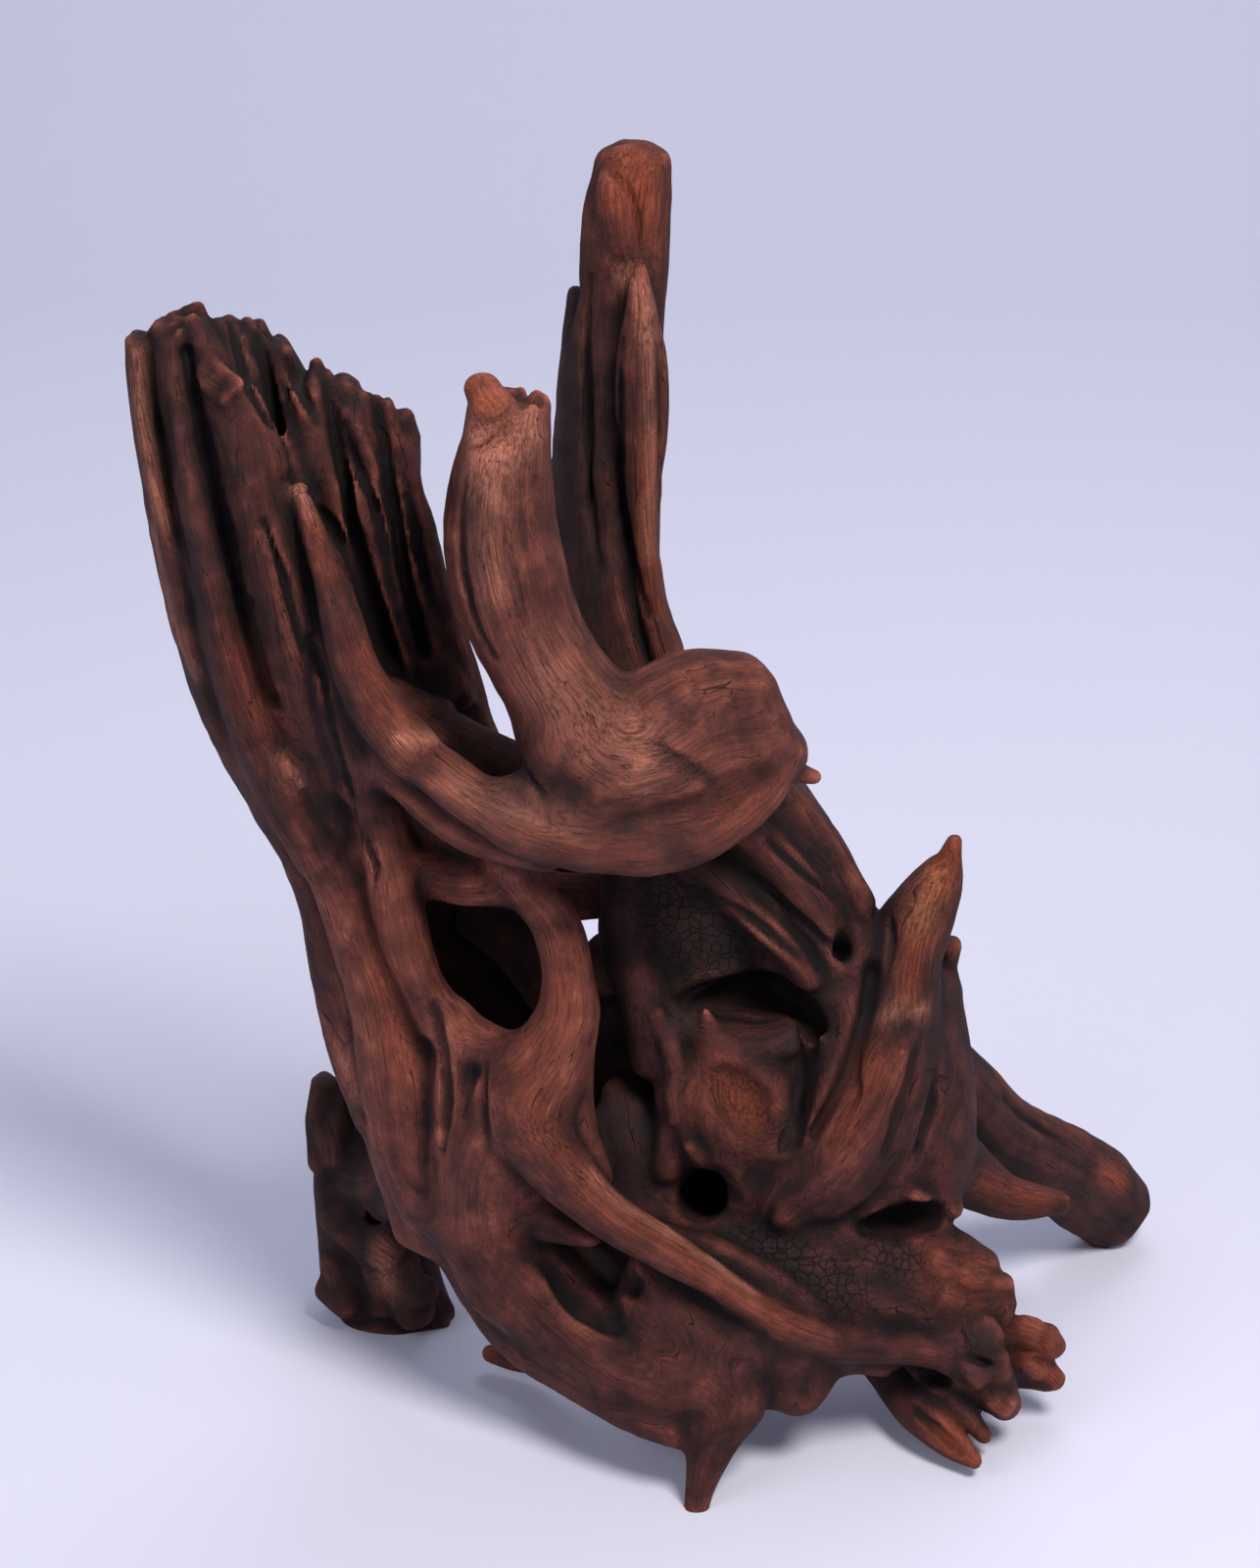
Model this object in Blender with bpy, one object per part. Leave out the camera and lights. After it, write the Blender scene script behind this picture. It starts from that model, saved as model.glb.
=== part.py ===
"""Aquarium driftwood: one weathered root, a single piece of wood. Metres, +Z up, resting on three low points.

The wood is drawn as limbs: runs of wood with an oval section, which flow into each other with a fillet.
Limbs and hollows are measured in millimetres as the piece is seen from the front, a little from above:
right and up in the view, and back for the depth behind the front foot.
"""

import math
import random

import bmesh
import bpy
import numpy as np

MM = 0.001

# The front view that the stations are measured in: how far it looks down, and from how far away.
VIEW_TILT = math.radians(25.0)
VIEW_DISTANCE = 1500.0
VIEW_CENTRE = np.array([0.0, 80.0, 240.6])
CENTRE_RIGHT = -0.7
CENTRE_UP = 246.7

# The point of the floor that lies under the middle of the piece.
MIDDLE = np.array([16.9, 96.5, 0.0])

# The size of the cells that the skin is laid over, how far out a limb is felt, and how many steps a point
# takes towards the nearest place of a limb's curve.
CELL = 2.5
REACH = 14.0
SAMPLE_STEP = 4.0
SAMPLES_AT_ONCE = 6
NEARING_STEPS = 2
EDGE_MARGIN = 0.02
TRIANGLES = 11400
TINY = 1e-6

# The thinnest half width of a limb, and the width of the fibres that its torn ends fray into.
THINNEST = 0.8
GRAIN_WIDTH = 4.0

# The splinters along the slab's torn edge, from its left end, and how far each one runs down.
SPLINTERS = 17
SPLINTER_SEED = 3
SPLINTER_EDGE = (-133.0, 404.0, 95.0)
SPLINTER_EDGE_RUN = (57.0, -31.0, 8.0)
SPLINTER_RISE = (-11.0, 0.0)
SPLINTER_SHIFT = (-6.0, 8.0)
SPLINTER_HALF = (1.8, 3.0)
SPLINTER_COURSE = ((0, 0, 0, 0.7, 4), (3, -14, 0, 1.0, 6), (12, -50, 0, 1.2, 8), (34, -118, 4, 1.5, 8))

WOOD_COLOUR = (0.13, 0.055, 0.04, 1.0)
WOOD_ROUGHNESS = 0.8

RIGHT_WAY = np.array([1.0, 0.0, 0.0])
UP_WAY = np.array([0.0, math.sin(VIEW_TILT), math.cos(VIEW_TILT)])
EYE_WAY = np.array([0.0, -math.cos(VIEW_TILT), math.sin(VIEW_TILT)])
EYE = VIEW_CENTRE + VIEW_DISTANCE * EYE_WAY

# The eight corners of a cell, numbered by their bits, and the six tetrahedra round its long diagonal.
CORNERS = np.array([[n & 1, n >> 1 & 1, n >> 2 & 1] for n in range(8)])
TETRAHEDRA = ((0, 1, 3, 7), (0, 3, 2, 7), (0, 2, 6, 7), (0, 6, 4, 7), (0, 4, 5, 7), (0, 5, 1, 7))

# The numbers that scramble a grid point into a random value.
HASH = np.array([73856093, 19349663, 83492791])
HASH_STIR = 1274126177
HASH_RANGE = 0xffff


def seen(right, up, back):
    """The place on the sight line through (right, up) at the depth back, and its scale in the view."""
    on_plane = VIEW_CENTRE + (right - CENTRE_RIGHT) * RIGHT_WAY + (up - CENTRE_UP) * UP_WAY
    sight = on_plane - EYE
    share = (back - EYE[1]) / sight[1]
    return EYE + share * sight, share


def noise(points):
    """Smooth noise between -1 and 1, with lumps one unit apart."""
    cell = np.floor(points).astype(np.int64)
    share = points - cell
    share = share * share * (3 - 2 * share)
    total = np.zeros(len(points))
    for corner in CORNERS:
        n = ((cell + corner) * HASH).sum(axis=1)
        n = (n ^ (n >> 13)) * HASH_STIR
        n = (n ^ (n >> 16)) & HASH_RANGE
        total += (2 * n / HASH_RANGE - 1) * np.prod(np.where(corner, share, 1 - share), axis=1)
    return total


class Limb:
    """A run of wood through stations of (right, up, back, half width, half depth)."""

    def __init__(self, *stations, blend=6.0, fray=0.0, cap=1.0):
        places = [seen(*s[:3]) for s in stations]
        keys = np.array([[*p, s[3] * k, s[4] * k] for (p, k), s in zip(places, stations)])
        self.blend = blend
        self.fray = fray
        self.cap = cap
        self.draw(keys)

    def draw(self, keys):
        """Draws a smooth curve through the keys, and finds the section's directions along it."""
        chords = np.linalg.norm(np.diff(keys[:, :3], axis=0), axis=1)
        along = np.concatenate([[0.0], np.cumsum(chords)])
        count = max(4, int(along[-1] / SAMPLE_STEP) + 1)
        slopes = np.gradient(keys, along, axis=0)
        at = np.linspace(0.0, along[-1], count)
        i = np.clip(np.searchsorted(along, at, side="right") - 1, 0, len(keys) - 2)
        span = (along[i + 1] - along[i])[:, None]
        t = (at - along[i])[:, None] / span
        curve = ((2 * t**3 - 3 * t**2 + 1) * keys[i] + (t**3 - 2 * t**2 + t) * span * slopes[i]
                 + (3 * t**2 - 2 * t**3) * keys[i + 1] + (t**3 - t**2) * span * slopes[i + 1])
        self.step = along[-1] / (count - 1)
        self.centre = curve[:, :3]
        self.half = np.maximum(curve[:, 3:], THINNEST)
        run = np.gradient(self.centre, axis=0)
        self.run = run / np.linalg.norm(run, axis=1)[:, None]
        wide = np.cross(self.run, EYE_WAY)
        self.wide = wide / np.linalg.norm(wide, axis=1)[:, None]
        self.deep = np.cross(self.wide, self.run)

    def nearest(self, axes, shape):
        """The grid points near the limb, and for each of them the sample it is nearest to."""
        best = np.full(shape, np.inf, np.float32)
        which = np.zeros(shape, np.int16)
        reach = self.half.max(axis=1) + REACH
        for first in range(0, len(self.centre), SAMPLES_AT_ONCE):
            rows = slice(first, first + SAMPLES_AT_ONCE)
            low = (self.centre[rows] - reach[rows, None]).min(axis=0)
            high = (self.centre[rows] + reach[rows, None]).max(axis=0)
            cut = tuple(slice(*np.searchsorted(a, (lo, hi))) for a, lo, hi in zip(axes, low, high))
            near = best[cut]
            index = which[cut]
            for n in range(first, min(first + SAMPLES_AT_ONCE, len(self.centre))):
                x, y, z = ((a[c] - m).astype(np.float32)**2 for a, c, m in zip(axes, cut, self.centre[n]))
                gap = x[:, None, None] + y[None, :, None] + z[None, None, :]
                closer = gap < near
                near[closer] = gap[closer]
                index[closer] = n
        return np.isfinite(best), which

    def between(self, at, *values):
        """The values of the samples, blended at places between them."""
        low = np.minimum(at.astype(np.int64), len(self.centre) - 2)
        share = (at - low)[:, None]
        return [value[low] * (1 - share) + value[low + 1] * share for value in values]

    def depth(self, points, sample):
        """How far each point lies outside the limb's skin, below zero inside it."""
        last = len(self.centre) - 1
        at = sample.astype(float)
        for _ in range(NEARING_STEPS):
            inside = np.clip(at, 0, last)
            centre, run = self.between(inside, self.centre, self.run)
            at = inside + ((points - centre) * run).sum(axis=1) / self.step
        inside = np.clip(at, 0, last)
        centre, half, wide, deep = self.between(inside, self.centre, self.half, self.wide, self.deep)
        away = points - centre
        x = (away * wide).sum(axis=1)
        y = (away * deep).sum(axis=1)
        if self.fray:
            fibre = np.stack([x / GRAIN_WIDTH, y / GRAIN_WIDTH, np.full(len(x), self.centre[0, 0])], axis=1)
            at = at + noise(fibre) * self.fray / self.step
        tip = half.min(axis=1) * self.cap
        z = (at - np.clip(at, 0, last)) * self.step
        r = np.sqrt((x / half[:, 0])**2 + (y / half[:, 1])**2 + (z / tip)**2) + TINY
        slope = np.sqrt((x / half[:, 0]**2)**2 + (y / half[:, 1]**2)**2 + (z / tip**2)**2) / r + TINY
        return (r - 1.0) / slope


SLAB = [
    # The left edge, which runs on down the side of the trunk to the lower left edge.
    Limb((-167, 398, 88, 5, 11), (-166.5, 380, 88, 5, 13), (-161, 350, 88, 6, 15),
         (-153.5, 320, 88, 7, 16), (-146, 292, 90, 8, 16), (-136.5, 267, 92, 9, 16),
         (-123, 247, 94, 10, 16), (-110.5, 226, 97, 10, 14), (-105, 207, 99, 9, 13),
         (-102, 188, 99, 9, 12), (-99, 170, 98, 8, 11), (-95, 155, 94, 8, 11), (-88, 137, 90, 8, 11),
         blend=4, fray=3, cap=0.35),
    Limb((-157, 402, 85, 6.5, 11), (-154, 380, 84, 7, 13), (-149, 350, 82, 8, 16), (-143, 320, 80, 9, 18),
         (-136, 290, 78, 9.5, 18), (-127, 265, 78, 10, 18), (-117, 245, 78, 9, 17),
         (-108, 228, 80, 9, 15), blend=3, fray=3, cap=0.35),
    # The broad ridge right of the long crack, with the plate that lies on it.
    Limb((-151, 405, 90, 6, 10), (-144, 390, 87, 8, 12), (-137, 370, 83, 10, 15), (-131, 345, 79, 10, 17),
         (-125, 320, 77, 10, 18), (-118, 290, 77, 10.5, 18), (-111, 262, 79, 10.5, 16),
         (-103, 240, 80, 9, 16), blend=3, fray=4, cap=0.35),
    Limb((-135, 381, 76, 7, 7), (-130, 360, 71, 10, 9), (-125, 335, 69, 9.5, 12),
         (-118, 305, 69, 9.5, 14), (-110, 275, 72, 10, 14), (-99, 250, 74, 9, 14), blend=3, fray=3,
         cap=0.4),
    Limb((-140, 402, 97, 6.5, 9), (-135, 389, 94, 8, 12), (-127, 370, 91, 9.5, 14),
         (-117, 345, 90, 11, 15), (-109, 310, 90, 12, 15), (-101, 275, 88, 12, 15), blend=3, fray=4,
         cap=0.35),
    # The splintered ridges of the top edge's right half.
    Limb((-130, 402, 104, 5, 8), (-125, 387, 101, 7, 11), (-119, 365, 98, 8.5, 13),
         (-110, 335, 98, 10, 14), (-101, 300, 99, 11, 15), (-92, 270, 94, 11, 14), blend=3, fray=4,
         cap=0.35),
    Limb((-122, 394, 110, 6, 8), (-117, 382, 107, 7.5, 11), (-110, 360, 104, 9, 13),
         (-101, 330, 104, 10, 13), (-92, 300, 106, 10, 13), (-84, 272, 102, 10, 13), blend=3, fray=4,
         cap=0.35),
    Limb((-112, 377, 94, 7, 7), (-107, 358, 92, 9, 10), (-101, 340, 93, 9.5, 12), (-95, 318, 99, 9, 12),
         (-88, 295, 105, 9, 12), (-78, 275, 102, 9, 12), blend=3, fray=4, cap=0.4),
    Limb((-108, 384, 102, 6, 8), (-103, 369, 99, 7, 10), (-96, 345, 98, 7.5, 12), (-90, 320, 101, 8, 12),
         (-83, 295, 105, 8.5, 12), (-74, 275, 102, 8, 12), blend=3, fray=3, cap=0.35),
    Limb((-98, 383, 106, 5, 8), (-93, 367, 103, 6.5, 10), (-88, 345, 101, 7, 12),
         (-82, 320, 102, 7.5, 12), (-75, 295, 105, 8, 12), (-66, 275, 100, 8, 12), blend=3, fray=3,
         cap=0.35),
    Limb((-89, 376, 110, 5, 8), (-86, 363, 108, 6, 10), (-82, 345, 107, 6.5, 12), (-77, 320, 106, 7, 12),
         (-70, 295, 107, 7.5, 12), (-62, 277, 101, 7, 12), blend=3, fray=3, cap=0.35),
    Limb((-80, 371, 115, 5, 8), (-78, 360, 115, 5, 10), (-76, 340, 113, 5, 12),
         (-73.5, 320, 111, 5.5, 12), (-70, 300, 108, 6.5, 12), (-64, 284, 104, 7, 12),
         (-58, 272, 100, 6, 10), blend=2, fray=3, cap=0.4),
    Limb((-161, 333, 90, 2.5, 6), (-156, 318, 88, 4.5, 8), (-149.5, 300, 86, 5, 10),
         (-143.5, 282, 86, 5, 10), blend=2.5),
    # The sheet at the back that the ridges stand on.
    Limb((-152, 386, 95, 12, 9), (-140, 345, 91, 19, 11), (-128, 300, 89, 23, 11),
         (-118, 262, 90, 20, 12), (-108, 236, 96, 14, 12), blend=4, fray=4, cap=0.4),
    Limb((-115, 330, 78, 5, 8), (-111, 308, 72, 7, 9), (-104, 288, 66, 8, 10), (-96, 268, 62, 9, 12),
         (-90, 250, 64, 9, 12), (-86, 232, 70, 7, 10), blend=4),
    Limb((-98, 362, 118, 20, 6), (-94, 335, 118, 24, 7), (-84, 300, 116, 24, 8), (-76, 270, 108, 20, 10),
         (-72, 248, 96, 18, 10), blend=4, fray=4, cap=0.4),
    # The spike in front of the slab.
    Limb((-113, 346, 66, 3, 5), (-109, 333, 64, 4, 6), (-104, 318, 60, 5, 8), (-99, 302, 56, 6.5, 10),
         (-94, 285, 52, 8, 11), (-86, 270, 48, 9, 12), (-76, 258, 44, 9, 12), blend=3),
]


def splinters():
    """The thin splinters between the ridges of the torn edge."""
    chance = random.Random(SPLINTER_SEED)
    rows = []
    for n in range(SPLINTERS):
        share = (n + chance.uniform(0.2, 0.8)) / SPLINTERS
        right, up, back = (start + run * share for start, run in zip(SPLINTER_EDGE, SPLINTER_EDGE_RUN))
        up += chance.uniform(*SPLINTER_RISE)
        back += chance.uniform(*SPLINTER_SHIFT)
        half = chance.uniform(*SPLINTER_HALF)
        course = [(right + r, up + u, back + b, half * w, deep) for r, u, b, w, deep in SPLINTER_COURSE]
        rows.append(Limb(*course, blend=1.5, fray=3, cap=0.5))
    return rows


HOOK = [
    # The arm that drops and turns into the cup, and the small end of the cup.
    Limb((-42, 375, 62, 14, 12), (-43.5, 350, 60, 16.5, 17), (-44, 330, 56, 19.5, 19),
         (-39, 307, 52, 19.5, 19), (-29.5, 287, 48, 19, 20), (-17, 270, 45, 19, 21),
         (-7, 256, 43, 18, 20), blend=9, fray=5, cap=0.25),
    Limb((-22, 261, 43, 16, 18), (-8, 256, 42, 22, 22), (9, 256, 43, 27, 25), (23, 263, 47, 27, 25),
         (30, 265, 51, 23.5, 24), blend=12),
    Limb((8, 273, 46, 12, 18), (24, 278, 50, 14, 20), (34, 278.5, 53, 13, 19), blend=8),
    Limb((34, 259, 50, 16, 18), (44, 258, 54, 13, 14), (50, 258, 58, 8, 10), blend=10),
    Limb((-50, 383, 67, 4, 6), (-50, 368, 66, 7, 9), (-52, 350, 62, 9, 10), blend=3, fray=2),
    Limb((-56.5, 362, 74, 3, 7), (-59.5, 345, 74, 4, 9), (-60, 326, 72, 4, 9), (-56.5, 306, 68, 4, 9),
         blend=2),
    Limb((54, 251, 58, 4, 5), (62, 249, 61, 2.5, 3), blend=3),
    # The lower lip, from the slab to the far end of the cup.
    Limb((-76, 258, 44, 7, 10), (-64, 249, 37, 9, 11), (-50, 239, 32, 9, 12), (-32, 229, 27, 9, 12),
         (-12, 224, 23, 8, 12), (8, 223, 22, 8, 12), (28, 231, 27, 8, 12), (44, 243, 38, 7, 12),
         (53, 255, 49, 5, 11), blend=6),
    Limb((-38, 243, 38, 7, 12), (-20, 236, 32, 9, 14), (0, 233, 29, 9, 14), (18, 236, 31, 9, 14),
         (33, 244, 38, 8, 12), blend=8),
    Limb((-84, 256, 56, 7, 10), (-68, 240, 50, 8, 10), (-50, 229, 44, 8, 10), (-30, 223, 40, 7, 10),
         blend=5),
    # The dark web behind the lip.
    Limb((-86, 276, 84, 8, 10), (-66, 262, 80, 11, 10), (-46, 251, 74, 12, 10), (-26, 242, 66, 12, 10),
         blend=8),
]

POST = [
    # The post, with its front ridge and its side strip.
    Limb((0, 459, 142, 13, 10), (-2, 440, 141, 15, 12), (-3, 420, 140, 15, 13), (-5, 400, 140, 16, 14),
         (-7, 375, 140, 17.5, 15), (-8, 350, 138, 17.5, 15), (-7, 322, 134, 16.5, 16),
         (-2, 296, 128, 15, 18), (9, 272, 120, 18, 20), (23, 250, 112, 20, 22), blend=8, fray=1.5,
         cap=0.7),
    Limb((-7, 453, 134, 5, 7), (-6, 442, 132, 6, 8), (-4, 430, 132, 5, 7), blend=2.5),
    Limb((3, 422, 125, 2, 4), (3, 410, 124, 5, 6), (3, 395, 123, 8, 8), (3, 372, 122, 8.5, 8),
         (3.5, 350, 122, 6.5, 8), (4, 330, 121, 5, 8), (6, 310, 118, 5, 8), (11, 292, 112, 6, 8),
         blend=2),
    Limb((-19.5, 414, 146, 3, 6), (-20.5, 395, 146, 4, 8), (-21.5, 372, 146, 5, 9),
         (-22, 345, 144, 6, 10), (-18, 315, 138, 8, 12), (-10, 290, 130, 9, 12), blend=2, fray=3,
         cap=0.5),
]

TRUNK = [
    # The two ridges left of the eye, and the one right of it.
    Limb((-126, 262, 84, 9, 14), (-117, 245, 80, 9, 14), (-108, 228, 77, 9, 15), (-99, 212, 75, 10, 15),
         (-91, 195, 73, 12, 15), (-84, 178, 72, 14, 15), (-80, 160, 71, 15, 16), (-77, 142, 72, 15, 16),
         (-74, 126, 74, 14, 16), (-69, 110, 74, 12, 15), blend=5),
    Limb((-86, 268, 80, 6, 12), (-86, 248, 72, 7, 12), (-84, 230, 67, 8, 12), (-81, 213, 64, 9, 12),
         (-78, 198, 63, 9, 12), (-73, 182, 63, 7, 12), (-68, 168, 62, 7, 10), blend=3),
    Limb((-44, 230, 62, 10, 12), (-37, 213, 57, 7.5, 11), (-26, 198, 52, 8.5, 11), (-22, 182, 49, 9, 13),
         (-22, 168, 47, 11, 14), (-28, 154, 45, 14, 15), (-36, 140, 44, 16, 16), (-42, 124, 47, 18, 16),
         (-46, 108, 52, 18, 15), (-45, 92, 56, 17, 12), (-40, 76, 54, 15, 9), blend=6),
    Limb((-19, 158, 58, 6, 12), (-21, 142, 56, 8, 12), (-19, 126, 50, 8, 12), (-13, 113, 42, 6, 10),
         blend=5),
    # The lintel over the eye and the rim below it.
    Limb((-86, 226, 70, 8, 10), (-72, 217, 69, 8, 10), (-58, 213, 66, 8, 10), (-44, 213, 61, 8, 10),
         blend=4),
    Limb((-76, 188, 64, 5, 10), (-67, 174, 60, 6, 10), (-56, 161, 56, 8, 10), (-44, 155, 51, 8, 10),
         (-34, 156, 48, 6, 10), blend=4),
    Limb((-62, 166, 58, 5, 10), (-59, 150, 57, 8, 11), (-59, 134, 58, 9, 11), (-58, 118, 61, 10, 11),
         (-56, 102, 64, 11, 11), blend=6),
    Limb((-70, 160, 90, 20, 12), (-66, 130, 84, 24, 14), (-60, 100, 78, 22, 14), blend=8),
    Limb((-96, 240, 88, 13, 10), (-70, 232, 84, 14, 10), (-44, 232, 74, 14, 10), blend=8),
    Limb((-114, 270, 86, 13, 14), (-105, 250, 84, 12, 14), (-97, 230, 80, 12, 13), (-90, 212, 78, 11, 12),
         blend=6),
    # The sunk flank between the left ridge and the outer edge.
    Limb((-114, 242, 96, 13, 10), (-101, 215, 94, 11, 10), (-95, 190, 92, 11, 10), (-90, 165, 90, 12, 11),
         (-84, 145, 88, 12, 11), blend=6),
    # The dark walls deep inside the eye and behind the cleft.
    Limb((-86, 215, 116, 20, 10), (-64, 196, 122, 20, 10), (-48, 178, 120, 20, 10),
         (-36, 156, 112, 18, 12), blend=8),
    Limb((-42, 212, 106, 10, 8), (-26, 208, 106, 9, 8), (-8, 209, 107, 8, 8), blend=6),
    Limb((-50, 204, 110, 12, 8), (-38, 190, 106, 9, 8), (-28, 174, 104, 8, 8), blend=6),
    Limb((-14, 183, 104, 8, 9), (-6, 182, 98, 8, 9), blend=4),
    Limb((-20, 178, 110, 9, 10), (-14, 158, 104, 14, 12), (-14, 134, 96, 16, 12), (-14, 112, 86, 16, 14),
         blend=6),
]

BODY = [
    # The rolled lower left edge, the broad sheet and its right end.
    Limb((-88, 137, 90, 6, 10), (-80, 122, 86, 8, 11), (-70, 106, 80, 9, 12), (-59, 88, 74, 8, 12),
         (-49, 71, 64, 8, 12), (-36, 55, 50, 7, 11), (-15, 42, 34, 7, 10), (5, 31, 18, 7, 9),
         (15, 27, 12, 6, 8), blend=5),
    Limb((-62, 112, 70, 16, 14), (-48, 95, 60, 18, 14), (-34, 78, 50, 19, 14), (-18, 62, 38, 17, 13),
         (0, 50, 27, 16, 12), (15, 42, 19, 14, 12), blend=8),
    Limb((12, 78, 36, 18, 14), (22, 60, 28, 20, 14), (28, 46, 20, 19, 12), (32, 38, 16, 14, 10), blend=8),
    Limb((42, 62, 30, 16, 12), (50, 50, 30, 17, 10), (58, 42, 30, 11, 9), blend=8),
    Limb((60, 60, 36, 14, 10), (74, 58, 40, 12, 9), (86, 54, 46, 9, 8), blend=8),
    # The long root that runs from the trunk to the lower right.
    Limb((-40, 140, 42, 14, 14), (-32, 126, 36, 12, 12), (-20, 111, 30, 10, 10), (-5, 98, 25, 8, 9),
         (10, 89, 21, 7, 9), (25, 80, 19, 6, 9), (40, 70, 20, 6, 9), (55, 62, 23, 7, 9),
         (70, 57, 28, 6.5, 8), (85, 56, 34, 6, 8), (100, 55, 40, 6, 8), (112, 50, 44, 8, 9), blend=4),
    Limb((6, 76, 34, 7, 8), (22, 68, 28, 9, 9), (38, 60, 25, 9, 9), (54, 54, 28, 8, 8), blend=8),
    Limb((12, 92, 34, 5, 6), (30, 87, 32, 5, 6), (46, 78, 30, 5, 6), (60, 67, 30, 5, 6), blend=3),
    Limb((-4, 112, 66, 18, 16), (18, 96, 56, 20, 16), (40, 84, 48, 20, 14), (60, 76, 44, 16, 12),
         (78, 68, 46, 12, 10), blend=8),
    Limb((-38, 106, 50, 10, 11), (-26, 98, 44, 7, 9), (-14, 91, 38, 4, 7), blend=6),
    # The wall at the back of the hollow under the long root.
    Limb((-42, 106, 76, 16, 10), (-16, 88, 66, 18, 10), (12, 74, 54, 18, 10), blend=8),
    # The front foot.
    Limb((32, 36, 18, 13, 9), (28, 27, 12, 10, 8), (25, 16, 7, 6.5, 6), (23, 6, 4, 4.5, 4.5),
         (22, -1, 2, 4, 4), blend=6, cap=0.5),
    # The short root that shows under the left edge.
    Limb((-48, 53, 88, 3, 4), (-38, 51, 82, 4, 5), (-22, 56, 70, 7, 7), (-8, 66, 56, 9, 8), blend=5),
]

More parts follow.
